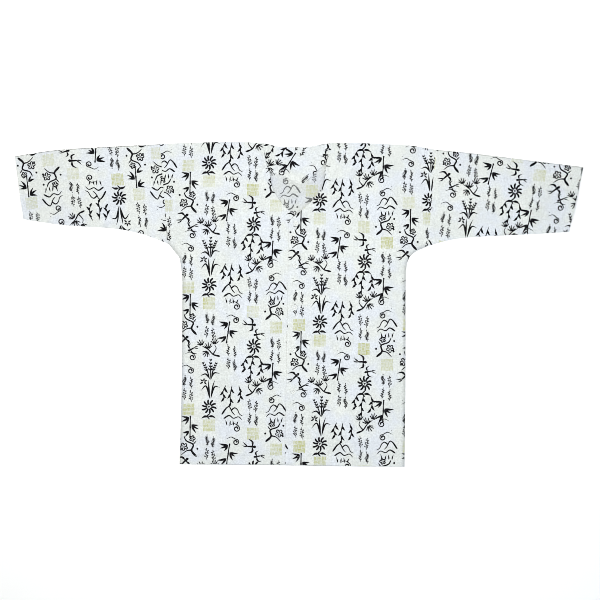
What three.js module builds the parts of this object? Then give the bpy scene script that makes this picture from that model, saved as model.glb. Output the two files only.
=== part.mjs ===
// A festival shirt of thin printed cotton: a round V neck, a buttoned front and three-quarter
// sleeves sewn on at straight seams. It lies flat on its back, buttoned.
//
// Frame, in millimetres: +X to the wearer's left, +Y to the neck, +Z up. The origin is under the
// middle of the shirt, on the surface that it lies on.
//
// Each sewn piece is one wall of cloth. The back panel lies on the surface, the facing on the back,
// and the front panels on both. The sleeves are flattened tubes.

import * as THREE from 'three';

// Cloth and its layers
const WALL = 1.0;
const SEAM_GAP = 0.3;
const LAYER = WALL + SEAM_GAP;
const AIR = 0.8;
const EDGE_RISE = 45;

// Front closing
const LAP_EDGE_TOP = { x: -21.8, y: 174 };
const LAP_EDGE_HEM = { x: -30.4, y: -344.4 };
const OVERLAP = 30;
const LAP_FLAT = 24;
const LAP_FALL = 40;
const CALM_FROM = 22;
const CALM_TO = 75;

// Buttons, on a line beside the lap's edge
const BUTTON_COUNT = 5;
const BUTTON_PITCH = 90;
const TOP_BUTTON_Y = 173;
const BUTTON_INSET = 15;
const BUTTON_RADIUS = 5.75;
const BUTTON_HEIGHT = 2.2;
const BUTTON_DISH = 0.7;
const BUTTON_SIDES = 20;

// Side edge from the hem to the underarm point, then straight along the armhole to its end
const RIGHT_SIDE = [
  { y: -342.75, x: -256.8 },
  { y: -154.2, x: -252.3 },
  { y: 45.8, x: -251.0 },
  { y: 97.4, x: -256.6 },
  { y: 113.7, x: -267.6 },
  { y: 130.7, x: -281.9 },
];
const RIGHT_ARMHOLE_END = { y: 344.0, x: -299.2 };
const LEFT_SIDE = [
  { y: -348.75, x: 226.3 },
  { y: -154.2, x: 228.4 },
  { y: 45.8, x: 228.8 },
  { y: 80.8, x: 230.6 },
  { y: 100.0, x: 236.5 },
  { y: 114.5, x: 252.0 },
  { y: 125.3, x: 277.0 },
];
const LEFT_ARMHOLE_END = { y: 331.8, x: 293.2 };

// Shoulder line, from the right armhole over the back neckline to the left armhole
const SHOULDER = [
  { x: -299.2, y: 344.0 },
  { x: -232.5, y: 346.8 },
  { x: -142.2, y: 348.75 },
  { x: -79.9, y: 346.2 },
  { x: -32.6, y: 337.3 },
  { x: 8.3, y: 337.3 },
  { x: 63.3, y: 345.5 },
  { x: 90.0, y: 346.8 },
  { x: 229.7, y: 341.4 },
  { x: 293.2, y: 331.8 },
];

// Neck edge of each front, from the top of its front edge to the shoulder
const RIGHT_NECK = [
  { y: 181.0, x: 8.2 },
  { y: 189.8, x: -6.8 },
  { y: 204.9, x: -26.1 },
  { y: 228.5, x: -45.5 },
  { y: 252.2, x: -58.4 },
  { y: 278.0, x: -62.7 },
  { y: 303.8, x: -71.3 },
  { y: 345.9, x: -78.2 },
];
const LEFT_NECK = [
  { y: 174.0, x: -21.8 },
  { y: 180.0, x: -19.0 },
  { y: 202.7, x: 6.1 },
  { y: 220.0, x: 25.5 },
  { y: 237.1, x: 40.5 },
  { y: 256.5, x: 51.3 },
  { y: 310.2, x: 59.9 },
  { y: 345.6, x: 66.3 },
];

// Lower edge of the back neck facing, and the ellipse inside which the fronts lie on the facing
const FACING_EDGE = [
  { x: -100.0, y: 331.0 },
  { x: -58.4, y: 284.4 },
  { x: -32.6, y: 276.0 },
  { x: 1.8, y: 258.6 },
  { x: 29.8, y: 278.0 },
  { x: 44.8, y: 293.0 },
  { x: 94.0, y: 331.0 },
];
const FACING_HILL = { x: -3, y: 346, halfWidth: 130, halfHeight: 110, fall: 0.4 };

// Sleeve sections from the armhole seam to the cuff: the underarm fold and the top fold
const RIGHT_SLEEVE = [
  { lowX: -281.9, lowY: 130.7, topX: -299.2, topY: 344.0 },
  { lowX: -308.6, lowY: 141.3, topX: -328.0, topY: 342.3 },
  { lowX: -344.3, lowY: 153.5, topX: -364.0, topY: 340.6 },
  { lowX: -396.4, lowY: 163.2, topX: -415.0, topY: 338.0 },
  { lowX: -506.0, lowY: 170.9, topX: -526.0, topY: 330.8 },
  { lowX: -592.4, lowY: 183.6, topX: -610.3, topY: 318.0 },
];
const LEFT_SLEEVE = [
  { lowX: 277.0, lowY: 125.3, topX: 293.2, topY: 331.8 },
  { lowX: 308.0, lowY: 134.8, topX: 324.0, topY: 329.2 },
  { lowX: 340.2, lowY: 141.3, topX: 356.0, topY: 326.2 },
  { lowX: 381.3, lowY: 145.3, topX: 400.0, topY: 321.0 },
  { lowX: 504.7, lowY: 151.4, topX: 528.0, topY: 304.9 },
  { lowX: 580.2, lowY: 156.3, topX: 610.3, topY: 294.8 },
];

// Soft folds of the upper cloth: the middle of each, its turn from +Y, half length, half width, height
const FOLDS = [
  { x: -158, y: -90, turn: 3, reach: 230, spread: 34, height: 2.6 },
  { x: -92, y: 60, turn: -4, reach: 190, spread: 26, height: 1.9 },
  { x: -212, y: -180, turn: -2, reach: 150, spread: 24, height: 1.6 },
  { x: 92, y: -150, turn: -3, reach: 210, spread: 30, height: 2.3 },
  { x: 168, y: -20, turn: 4, reach: 200, spread: 32, height: 2.6 },
  { x: 118, y: 170, turn: -12, reach: 120, spread: 28, height: 1.8 },
  { x: -140, y: 215, turn: 14, reach: 110, spread: 28, height: 2.0 },
  { x: -236, y: 190, turn: 52, reach: 100, spread: 24, height: 2.9 },
  { x: 232, y: 176, turn: -56, reach: 96, spread: 24, height: 2.9 },
  { x: -345, y: 238, turn: 97, reach: 120, spread: 28, height: 2.4 },
  { x: -470, y: 262, turn: 88, reach: 110, spread: 30, height: 2.6 },
  { x: -540, y: 228, turn: 82, reach: 90, spread: 22, height: 1.7 },
  { x: 350, y: 226, turn: 80, reach: 120, spread: 28, height: 2.4 },
  { x: 478, y: 244, turn: 99, reach: 115, spread: 28, height: 2.6 },
  { x: 545, y: 205, turn: 104, reach: 90, spread: 22, height: 1.7 },
];

// Grid of the body's panels, from the hem up: the share of the height that each band ends at
const BANDS = [
  { end: 0.56, rows: 9 },
  { end: 0.7, rows: 9 },
  { end: 0.745, rows: 2 },
  { end: 0.8, rows: 8 },
  { end: 1.0, rows: 8 },
];
const SHOULDER_BAND = 0.9;
const BACK_COLUMNS = 14;
const FRONT_COLUMNS = 12;
const FACING_ROWS = 4;
const FACING_COLUMNS = 14;
const SLEEVE_ROWS = 16;
const SLEEVE_COLUMNS = 9;
const FOLD_SIDES = 4;

const COTTON = { color: 0xe9eeee, roughness: 0.85, metalness: 0 };
const WRONG_SIDE_COTTON = { color: 0xdfe5e1, roughness: 0.88, metalness: 0 };
const BUTTON_RESIN = { color: 0xf1f1ec, roughness: 0.35, metalness: 0 };

const { lerp, smoothstep, degToRad } = THREE.MathUtils;

// A smooth curve through a table's rows, which runs on straight past its ends and never overshoots.
function curve(table, from, to) {
  const slopes = table.slice(1).map((row, i) => (row[to] - table[i][to]) / (row[from] - table[i][from]));
  const tangents = table.map((row, i) => {
    const before = slopes[Math.max(i - 1, 0)];
    const after = slopes[Math.min(i, slopes.length - 1)];
    return before * after > 0 ? (2 * before * after) / (before + after) : 0;
  });
  return (at) => {
    const rowsBelow = table.filter((row) => row[from] <= at).length;
    const i = Math.min(Math.max(rowsBelow - 1, 0), table.length - 2);
    const width = table[i + 1][from] - table[i][from];
    const t = (at - table[i][from]) / width;
    if (t < 0 || t > 1) {
      const end = t < 0 ? i : i + 1;
      return table[end][to] + slopes[i] * (at - table[end][from]);
    }
    const rise = tangents[i] * width * t * (1 - t) ** 2 - tangents[i + 1] * width * t * t * (1 - t);
    return lerp(table[i][to], table[i + 1][to], t * t * (3 - 2 * t)) + rise;
  };
}

// A side edge: curved up to the underarm point, straight above it, and half a seam inside the outline.
function sideEdge(table, armholeEnd) {
  const seam = curve(table, 'y', 'x');
  const underarm = table.at(-1);
  const armhole = curve([underarm, armholeEnd], 'y', 'x');
  const inward = -Math.sign(underarm.x) * SEAM_GAP;
  return {
    lowest: table[0].y,
    highest: armholeEnd.y,
    x: (y) => (y < underarm.y ? seam(y) : armhole(y)) + inward,
  };
}

// The inner edge of a front: the straight front edge, then the curved neck edge.
function frontEdge(neckTable, shift) {
  const neck = curve(neckTable, 'y', 'x');
  const frontLine = curve([LAP_EDGE_HEM, LAP_EDGE_TOP], 'y', 'x');
  return {
    lowest: LAP_EDGE_HEM.y,
    highest: neckTable.at(-1).y,
    x: (y) => (y < neckTable[0].y ? frontLine(y) + shift : neck(y)),
  };
}

const rightSide = sideEdge(RIGHT_SIDE, RIGHT_ARMHOLE_END);
const leftSide = sideEdge(LEFT_SIDE, LEFT_ARMHOLE_END);
const lapEdge = frontEdge(LEFT_NECK, 0);
const hiddenEdge = frontEdge(RIGHT_NECK, OVERLAP);
const shoulder = curve(SHOULDER, 'x', 'y');

function sleeveFold(sections, end) {
  return new THREE.CatmullRomCurve3(
    sections.map((section) => new THREE.Vector3(section[`${end}X`], section[`${end}Y`], 0)),
  );
}

// The outline where the upper and the lower cloth are joined: it is open at hem, neck and cuffs.
function joinedOutline() {
  const steps = 24;
  const sampled = (place) => Array.from({ length: steps + 1 }, (_, i) => place(i / steps));
  const sideOf = (edge, table) => sampled((t) => {
    const y = lerp(table[0].y, table.at(-1).y, t);
    return new THREE.Vector3(edge.x(y), y, 0);
  });
  const shoulderPoints = (fromX, toX) => sampled((t) => {
    const x = lerp(fromX, toX, t);
    return new THREE.Vector3(x, shoulder(x), 0);
  });
  return [
    [...sideOf(rightSide, RIGHT_SIDE), ...sleeveFold(RIGHT_SLEEVE, 'low').getPoints(steps)],
    [...sideOf(leftSide, LEFT_SIDE), ...sleeveFold(LEFT_SLEEVE, 'low').getPoints(steps)],
    [
      ...sleeveFold(RIGHT_SLEEVE, 'top').getPoints(steps).reverse(),
      ...shoulderPoints(RIGHT_ARMHOLE_END.x, RIGHT_NECK.at(-1).x),
    ],
    [
      ...shoulderPoints(LEFT_NECK.at(-1).x, LEFT_ARMHOLE_END.x),
      ...sleeveFold(LEFT_SLEEVE, 'top').getPoints(steps),
    ],
  ];
}

const outline = joinedOutline();

function distanceToOutline(x, y) {
  const point = new THREE.Vector3(x, y, 0);
  const nearest = new THREE.Vector3();
  const segment = new THREE.Line3();
  let distance = Infinity;
  for (const line of outline) {
    for (let i = 1; i < line.length; i += 1) {
      segment.set(line[i - 1], line[i]).closestPointToPoint(point, true, nearest);
      distance = Math.min(distance, nearest.distanceTo(point));
    }
  }
  return distance;
}

// Height that the folds add. The closing is stiffer than the rest, so they stay off it.
function foldHeight(x, y) {
  const calm = smoothstep(Math.abs(x - lapEdge.x(0) - BUTTON_INSET), CALM_FROM, CALM_TO);
  return calm * FOLDS.reduce((sum, fold) => {
    const turn = degToRad(fold.turn);
    const across = (x - fold.x) * Math.cos(turn) - (y - fold.y) * Math.sin(turn);
    const along = (x - fold.x) * Math.sin(turn) + (y - fold.y) * Math.cos(turn);
    return sum + fold.height * Math.exp(-((across / fold.spread) ** 2) - (along / fold.reach) ** 4);
  }, 0);
}

// Underside of the upper cloth: on the back, over the facing, and raised by air and folds.
function upperCloth(x, y) {
  const hill = Math.hypot((x - FACING_HILL.x) / FACING_HILL.halfWidth, (y - FACING_HILL.y) / FACING_HILL.halfHeight);
  const overFacing = LAYER * (1 - smoothstep(hill, 1, 1 + FACING_HILL.fall));
  const loose = smoothstep(distanceToOutline(x, y), 0, EDGE_RISE);
  return LAYER + overFacing + loose * (AIR + foldHeight(x, y));
}

// The left front also lies on the right front's hidden strip.
function lapCloth(x, y) {
  const pastStrip = x - LAP_EDGE_TOP.x - OVERLAP;
  return upperCloth(x, y) + LAYER * (1 - smoothstep(pastStrip, LAP_FLAT, LAP_FLAT + LAP_FALL));
}

// A closed wall between two grids of points with as many rows and columns. A tube's rows are rings.
function clothWall(outer, inner, isTube) {
  const rows = outer.length;
  const columns = outer[0].length;
  const index = [];
  const at = (side, row, column) => (side * rows + row) * columns + (column % columns);
  const quad = (a, b, c, d) => index.push(a, b, c, a, c, d);
  const strips = isTube ? columns : columns - 1;
  for (let column = 0; column < strips; column += 1) {
    const next = column + 1;
    for (let row = 0; row < rows - 1; row += 1) {
      quad(at(0, row, column), at(0, row, next), at(0, row + 1, next), at(0, row + 1, column));
      quad(at(1, row, column), at(1, row + 1, column), at(1, row + 1, next), at(1, row, next));
    }
    quad(at(0, 0, next), at(0, 0, column), at(1, 0, column), at(1, 0, next));
    quad(at(0, rows - 1, column), at(0, rows - 1, next), at(1, rows - 1, next), at(1, rows - 1, column));
  }
  for (let row = 0; row < rows - 1 && !isTube; row += 1) {
    quad(at(0, row, 0), at(0, row + 1, 0), at(1, row + 1, 0), at(1, row, 0));
    quad(at(0, row + 1, strips), at(0, row, strips), at(1, row, strips), at(1, row + 1, strips));
  }
  const points = [outer, inner].flat(2).flatMap((point) => point.toArray());
  return facingOut(points, index);
}

// The grids of a left and a right piece run opposite ways, so the faces are turned out here.
function facingOut(points, index) {
  const geometry = new THREE.BufferGeometry();
  geometry.setAttribute('position', new THREE.Float32BufferAttribute(points, 3));
  const corner = (i) => new THREE.Vector3().fromArray(points, index[i] * 3);
  let volume = 0;
  for (let i = 0; i < index.length; i += 3) {
    volume += corner(i).dot(corner(i + 1).cross(corner(i + 2))) / 6;
  }
  geometry.setIndex(volume > 0 ? index : index.toReversed());
  geometry.computeVertexNormals();
  return geometry;
}

// Shares of the body's height, from the hem to the shoulder, closer together round the underarm.
function bodyLevels() {
  const levels = [0];
  for (const band of BANDS) {
    const start = levels.at(-1);
    for (let row = 1; row <= band.rows; row += 1) {
      levels.push(lerp(start, band.end, row / band.rows));
    }
  }
  return levels;
}

// Points in plan between two edges of a body panel. The top rows bend to the shoulder line.
function panelPlan(edgeA, edgeB, columns) {
  return bodyLevels().map((level) => {
    const yA = lerp(edgeA.lowest, edgeA.highest, level);
    const yB = lerp(edgeB.lowest, edgeB.highest, level);
    const bend = smoothstep(level, SHOULDER_BAND, 1);
    return Array.from({ length: columns + 1 }, (_, column) => {
      const across = column / columns;
      const x = lerp(edgeA.x(yA), edgeB.x(yB), across);
      const straight = lerp(yA, yB, across);
      const topLine = lerp(edgeA.highest, edgeB.highest, across);
      return new THREE.Vector3(x, straight + bend * (shoulder(x) - topLine), 0);
    });
  });
}

// A panel of even thickness whose underside has the given height over each point.
function panel(plan, underside) {
  const atHeight = (rise) => plan.map((row) => row.map(
    (point) => new THREE.Vector3(point.x, point.y, underside(point.x, point.y) + rise),
  ));
  return clothWall(atHeight(WALL), atHeight(0), false);
}

// The facing's rows run from its lower edge to the neckline.
function facingPlan() {
  const lowerEdge = curve(FACING_EDGE, 'x', 'y');
  const firstX = FACING_EDGE[0].x;
  const lastX = FACING_EDGE.at(-1).x;
  return Array.from({ length: FACING_ROWS + 1 }, (_, row) => (
    Array.from({ length: FACING_COLUMNS + 1 }, (__, column) => {
      const x = lerp(firstX, lastX, column / FACING_COLUMNS);
      return new THREE.Vector3(x, lerp(lowerEdge(x), shoulder(x) - SEAM_GAP, row / FACING_ROWS), 0);
    })
  ));
}

// One ring of a sleeve, across from its underarm fold to its top fold: flat below, loose above.
// The inner ring follows the outer one, a wall inside it.
function sleeveRing(low, top, isOuter) {
  const width = low.distanceTo(top);
  const foldRadius = (LAYER + WALL) / 2;
  const radius = isOuter ? foldRadius : foldRadius - WALL;
  const ring = [];
  const add = (across, height) => {
    const plan = low.clone().lerp(top, across / width);
    ring.push(new THREE.Vector3(plan.x, plan.y, height(plan)));
  };
  const addFold = (centre, side) => {
    for (let i = 1; i < FOLD_SIDES; i += 1) {
      const angle = Math.PI * (i / FOLD_SIDES - 0.5) * side;
      add(centre + side * radius * Math.cos(angle), () => foldRadius + radius * Math.sin(angle));
    }
  };
  const near = foldRadius;
  const far = width - foldRadius;
  for (let i = 0; i <= SLEEVE_COLUMNS; i += 1) {
    add(lerp(near, far, i / SLEEVE_COLUMNS), () => (isOuter ? 0 : WALL));
  }
  addFold(far, 1);
  for (let i = SLEEVE_COLUMNS; i >= 0; i -= 1) {
    add(lerp(near, far, i / SLEEVE_COLUMNS), (plan) => upperCloth(plan.x, plan.y) + (isOuter ? WALL : 0));
  }
  addFold(near, -1);
  return ring;
}

function sleeve(sections) {
  const lowFold = sleeveFold(sections, 'low');
  const topFold = sleeveFold(sections, 'top');
  const rings = (isOuter) => Array.from({ length: SLEEVE_ROWS + 1 }, (_, row) => (
    sleeveRing(lowFold.getPoint(row / SLEEVE_ROWS), topFold.getPoint(row / SLEEVE_ROWS), isOuter)
  ));
  return clothWall(rings(true), rings(false), true);
}

// A round button with a dished face, standing on z = 0.
function button() {
  const profile = [
    [0, 0],
    [0.8, 0],
    [1, 0.25],
    [1, 0.7],
    [0.88, 1],
    [0.72, 1],
    [0.58, 1 - BUTTON_DISH / BUTTON_HEIGHT],
    [0, 1 - BUTTON_DISH / BUTTON_HEIGHT],
  ].map(([radius, height]) => new THREE.Vector2(radius * BUTTON_RADIUS, height * BUTTON_HEIGHT));
  return new THREE.LatheGeometry(profile, BUTTON_SIDES).rotateX(Math.PI / 2);
}

const shirt = new THREE.Group();

function addPiece(name, geometry, finish) {
  const mesh = new THREE.Mesh(geometry, new THREE.MeshStandardMaterial(finish));
  mesh.name = name;
  shirt.add(mesh);
  return mesh;
}

addPiece('back', panel(panelPlan(rightSide, leftSide, BACK_COLUMNS), () => 0), WRONG_SIDE_COTTON);
addPiece('back_neck_facing', panel(facingPlan(), () => LAYER), COTTON);
addPiece('front_right', panel(panelPlan(rightSide, hiddenEdge, FRONT_COLUMNS), upperCloth), COTTON);
addPiece('front_left', panel(panelPlan(leftSide, lapEdge, FRONT_COLUMNS), lapCloth), COTTON);
addPiece('sleeve_right', sleeve(RIGHT_SLEEVE), COTTON);
addPiece('sleeve_left', sleeve(LEFT_SLEEVE), COTTON);

for (let i = 0; i < BUTTON_COUNT; i += 1) {
  const y = TOP_BUTTON_Y - i * BUTTON_PITCH;
  const x = lapEdge.x(y) + BUTTON_INSET;
  const z = lapCloth(x, y) + WALL + SEAM_GAP;
  addPiece(`button_${i + 1}`, button(), BUTTON_RESIN).position.set(x, y, z);
}

export default shirt;
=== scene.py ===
"""The festival shirt's looks: thin printed cotton laid flat and buttoned, seen from straight above.

Tables and lengths are in millimetres, and become metres where a mesh is made. Every piece of cloth
is cut from a flat domain: a panel's is its own plan, and a sleeve's is its cloth unfolded at the top
fold. The print is part of that cut: each brush stroke's outline is an edge of the cloth's mesh, and
the faces inside it hold the ink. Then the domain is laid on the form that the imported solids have.
"""

import math
import random

import bpy
import numpy as np
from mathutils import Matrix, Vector
from mathutils.geometry import delaunay_2d_cdt


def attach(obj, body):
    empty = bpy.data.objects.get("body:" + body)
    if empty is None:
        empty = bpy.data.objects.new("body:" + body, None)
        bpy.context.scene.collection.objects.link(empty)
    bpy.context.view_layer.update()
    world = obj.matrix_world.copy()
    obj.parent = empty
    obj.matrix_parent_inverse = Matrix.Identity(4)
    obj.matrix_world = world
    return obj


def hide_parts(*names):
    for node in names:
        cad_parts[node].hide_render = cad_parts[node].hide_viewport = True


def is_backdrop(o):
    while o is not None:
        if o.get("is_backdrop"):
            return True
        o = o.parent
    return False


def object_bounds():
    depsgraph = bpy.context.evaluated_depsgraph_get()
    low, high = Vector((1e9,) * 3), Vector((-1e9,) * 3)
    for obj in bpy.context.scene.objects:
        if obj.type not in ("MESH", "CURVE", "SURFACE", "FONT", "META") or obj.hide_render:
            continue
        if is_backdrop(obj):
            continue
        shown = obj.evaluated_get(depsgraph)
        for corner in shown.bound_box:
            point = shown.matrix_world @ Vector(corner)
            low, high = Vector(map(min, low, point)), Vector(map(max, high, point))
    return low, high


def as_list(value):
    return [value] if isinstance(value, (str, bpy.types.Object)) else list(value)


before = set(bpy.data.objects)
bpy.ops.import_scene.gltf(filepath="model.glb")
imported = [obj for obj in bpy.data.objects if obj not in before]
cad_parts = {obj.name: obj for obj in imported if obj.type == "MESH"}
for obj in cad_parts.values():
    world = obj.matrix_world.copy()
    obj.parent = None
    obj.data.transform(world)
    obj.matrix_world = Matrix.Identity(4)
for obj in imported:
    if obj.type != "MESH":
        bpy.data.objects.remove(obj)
cad_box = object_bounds()

MM = 0.001

# ---------------------------------------------------------------- the solids' sizes, as packed

WALL = 1.0
SEAM_GAP = 0.3
LAYER = WALL + SEAM_GAP
AIR = 0.8
EDGE_RISE = 45

LAP_EDGE_TOP = (174.0, -21.8)
LAP_EDGE_HEM = (-344.4, -30.4)
OVERLAP = 30
LAP_FLAT = 24
LAP_FALL = 40
CALM_FROM = 22
CALM_TO = 75

BUTTON_COUNT = 5
BUTTON_PITCH = 90
TOP_BUTTON_Y = 173
BUTTON_INSET = 15
BUTTON_RADIUS = 5.75

# (y, x) from the hem to the underarm point, and the armhole's end at the shoulder
RIGHT_SIDE = (
    (-342.75, -256.8),
    (-154.2, -252.3),
    (45.8, -251.0),
    (97.4, -256.6),
    (113.7, -267.6),
    (130.7, -281.9),
)
RIGHT_ARMHOLE_END = (344.0, -299.2)
LEFT_SIDE = (
    (-348.75, 226.3),
    (-154.2, 228.4),
    (45.8, 228.8),
    (80.8, 230.6),
    (100.0, 236.5),
    (114.5, 252.0),
    (125.3, 277.0),
)
LEFT_ARMHOLE_END = (331.8, 293.2)

# (x, y) from the right armhole over the back neckline to the left armhole
SHOULDER = (
    (-299.2, 344.0),
    (-232.5, 346.8),
    (-142.2, 348.75),
    (-79.9, 346.2),
    (-32.6, 337.3),
    (8.3, 337.3),
    (63.3, 345.5),
    (90.0, 346.8),
    (229.7, 341.4),
    (293.2, 331.8),
)

# (y, x) from the top of the front edge to the shoulder
RIGHT_NECK = (
    (181.0, 8.2),
    (189.8, -6.8),
    (204.9, -26.1),
    (228.5, -45.5),
    (252.2, -58.4),
    (278.0, -62.7),
    (303.8, -71.3),
    (345.9, -78.2),
)
LEFT_NECK = (
    (174.0, -21.8),
    (180.0, -19.0),
    (202.7, 6.1),
    (220.0, 25.5),
    (237.1, 40.5),
    (256.5, 51.3),
    (310.2, 59.9),
    (345.6, 66.3),
)

# (x, y) of the facing's lower edge, and the ellipse inside which the fronts lie on the facing
FACING_EDGE = (
    (-100.0, 331.0),
    (-58.4, 284.4),
    (-32.6, 276.0),
    (1.8, 258.6),
    (29.8, 278.0),
    (44.8, 293.0),
    (94.0, 331.0),
)
HILL_X, HILL_Y, HILL_HALF_WIDTH, HILL_HALF_HEIGHT, HILL_FALL = -3, 346, 130, 110, 0.4

# (x, y) of the underarm fold and of the top fold, from the armhole seam to the cuff
RIGHT_SLEEVE = (
    ((-281.9, 130.7), (-299.2, 344.0)),
    ((-308.6, 141.3), (-328.0, 342.3)),
    ((-344.3, 153.5), (-364.0, 340.6)),
    ((-396.4, 163.2), (-415.0, 338.0)),
    ((-506.0, 170.9), (-526.0, 330.8)),
    ((-592.4, 183.6), (-610.3, 318.0)),
)
LEFT_SLEEVE = (
    ((277.0, 125.3), (293.2, 331.8)),
    ((308.0, 134.8), (324.0, 329.2)),
    ((340.2, 141.3), (356.0, 326.2)),
    ((381.3, 145.3), (400.0, 321.0)),
    ((504.7, 151.4), (528.0, 304.9)),
    ((580.2, 156.3), (610.3, 294.8)),
)

# Soft folds: x, y, turn from +Y in degrees, half length, half width, height
FOLDS = (
    (-158, -90, 3, 230, 34, 2.6),
    (-92, 60, -4, 190, 26, 1.9),
    (-212, -180, -2, 150, 24, 1.6),
    (92, -150, -3, 210, 30, 2.3),
    (168, -20, 4, 200, 32, 2.6),
    (118, 170, -12, 120, 28, 1.8),
    (-140, 215, 14, 110, 28, 2.0),
    (-236, 190, 52, 100, 24, 2.9),
    (232, 176, -56, 96, 24, 2.9),
    (-345, 238, 97, 120, 28, 2.4),
    (-470, 262, 88, 110, 30, 2.6),
    (-540, 228, 82, 90, 22, 1.7),
    (350, 226, 80, 120, 28, 2.4),
    (478, 244, 99, 115, 28, 2.6),
    (545, 205, 104, 90, 22, 1.7),
)

# ---------------------------------------------------------------- the cloth's finer form

CLOTH = 0.5
HEM_CLOTH = 0.95
GRID = 4.6
SLACK = 0.06
EDGE_STEP = 3.5
HEM_DEPTH = 20
CUFF_DEPTH = 22
NECK_DEPTH = 7
FRONT_EDGE_DEPTH = 26

# Sharper creases of the upper cloth, in the columns of FOLDS
CREASES = (
    (-85, 314, 0, 34, 6, 1.1),
    (-247, 120, 62, 60, 9, 1.3),
    (-232, 150, 48, 64, 9, 1.0),
    (236, 122, -64, 60, 9, 1.3),
    (222, 152, -50, 62, 9, 1.0),
    (-118, 300, -6, 46, 9, 0.8),
    (112, 296, 8, 48, 9, 0.8),
    (-186, 30, 8, 120, 11, 0.7),
    (196, -210, -5, 110, 11, 0.7),
    (-128, -270, 2, 80, 12, 0.8),
    (120, -290, -4, 70, 12, 0.7),
    (-418, 214, 76, 60, 10, 0.9),
    (-372, 196, 60, 52, 9, 0.9),
    (-500, 232, 98, 64, 10, 0.7),
    (402, 196, 108, 60, 10, 0.9),
    (356, 182, 122, 50, 9, 0.9),
    (500, 222, 84, 64, 10, 0.7),
)
# Soft waves that cover all the cloth: wavelength and height. Each row gives several, across each other
RIPPLES = ((95, 0.26), (57, 0.16), (31, 0.08))
WAVES_EACH = 4
# The share of the finer form that is left over the buttons
CALM_SHARE = 0.35


def lerp(a, b, t):
    return a + (b - a) * t


def smoothstep(x, low, high):
    t = np.clip((x - low) / (high - low), 0, 1)
    return t * t * (3 - 2 * t)


def bell(x, width):
    """1 where x is 0, and next to nothing past twice the width."""
    return np.exp(-((x / width) ** 2))


def turned(degrees):
    """The matrix that turns rows of (x, y) anticlockwise."""
    c, s = math.cos(math.radians(degrees)), math.sin(math.radians(degrees))
    return np.array([[c, s], [-s, c]])


def unit(vectors):
    return vectors / np.linalg.norm(vectors, axis=-1, keepdims=True)


def left_of(way):
    return np.column_stack([-way[:, 1], way[:, 0]])


def lengths_along(line):
    """How far along a line each of its points is."""
    return np.concatenate([[0], np.cumsum(np.linalg.norm(np.diff(line, axis=0), axis=1))])


def curve(rows):
    """A smooth function through (at, value) rows. It never overshoots, and runs straight past its ends."""
    at, value = np.array(rows, float).T
    slope = np.diff(value) / np.diff(at)
    before, after = np.concatenate([slope[:1], slope]), np.concatenate([slope, slope[-1:]])
    same_way = before * after > 0
    tangent = np.where(same_way, 2 * before * after / np.where(same_way, before + after, 1), 0)

    def value_at(x):
        x = np.asarray(x, float)
        i = np.clip(np.searchsorted(at, x, side="right") - 1, 0, len(at) - 2)
        width = at[i + 1] - at[i]
        t = (x - at[i]) / width
        u = np.clip(t, 0, 1)
        rise = width * (tangent[i] * u * (1 - u) ** 2 - tangent[i + 1] * u * u * (1 - u))
        return lerp(value[i], value[i + 1], u * u * (3 - 2 * u)) + rise + slope[i] * width * (t - u)

    return value_at


class Spline:
    """A centripetal Catmull-Rom curve through points, from 0 at the first to 1 at the last."""

    def __init__(self, points):
        inner = np.array(points, float)
        first, last = 2 * inner[0] - inner[1], 2 * inner[-1] - inner[-2]
        self.points = np.vstack([first, inner, last])

    def __call__(self, t):
        spans = len(self.points) - 3
        at = np.clip(np.asarray(t, float), 0, 1) * spans
        i = np.minimum(at.astype(int), spans - 1)
        u = (at - i)[..., None]
        p0, p1, p2, p3 = (self.points[i + k] for k in range(4))
        d0, d1, d2 = (
            np.maximum(np.linalg.norm(b - a, axis=-1), 1e-6)[..., None] ** 0.5
            for a, b in ((p0, p1), (p1, p2), (p2, p3))
        )
        m1 = ((p1 - p0) / d0 - (p2 - p0) / (d0 + d1) + (p2 - p1) / d1) * d1
        m2 = ((p2 - p1) / d1 - (p3 - p1) / (d1 + d2) + (p3 - p2) / d2) * d1
        return (
            p1
            + m1 * u
            + (3 * (p2 - p1) - 2 * m1 - m2) * u**2
            + (2 * (p1 - p2) + m1 + m2) * u**3
        )


class SideEdge:
    """A panel's outer edge: curved up to the underarm point, straight above it."""

    def __init__(self, table, armhole_end):
        self.underarm, self.armhole_end = table[-1], armhole_end
        self.low, self.high = table[0][0], armhole_end[0]
        self.seam, self.armhole = curve(table), curve((table[-1], armhole_end))
        self.inward = -math.copysign(SEAM_GAP, table[-1][1])

    def __call__(self, y):
        return np.where(y < self.underarm[0], self.seam(y), self.armhole(y)) + self.inward


class FrontEdge:
    """A front's inner edge: the straight front edge, then the curved neck edge."""

    def __init__(self, neck_table, shift):
        self.low, self.corner, self.high = LAP_EDGE_HEM[0], neck_table[0][0], neck_table[-1][0]
        self.neck, self.line, self.shift = curve(neck_table), curve((LAP_EDGE_HEM, LAP_EDGE_TOP)), shift

    def __call__(self, y):
        return np.where(y < self.corner, self.line(y) + self.shift, self.neck(y))


right_side = SideEdge(RIGHT_SIDE, RIGHT_ARMHOLE_END)
left_side = SideEdge(LEFT_SIDE, LEFT_ARMHOLE_END)
lap_edge = FrontEdge(LEFT_NECK, 0)
hidden_edge = FrontEdge(RIGHT_NECK, OVERLAP)
shoulder = curve(SHOULDER)
facing_edge = curve(FACING_EDGE)


def steps(a, b, step=EDGE_STEP):
    return np.linspace(a, b, max(2, round(abs(b - a) / step) + 1))


def line_of_y(edge, low, high):
    y = steps(low, high)
    return np.column_stack([edge(y), y])


SIDE_SEAMS = [line_of_y(side, side.low, side.underarm[0]) for side in (right_side, left_side)]


def shoulder_line(x_from, x_to):
    x = steps(x_from, x_to)
    return np.column_stack([x, shoulder(x)])


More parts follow.
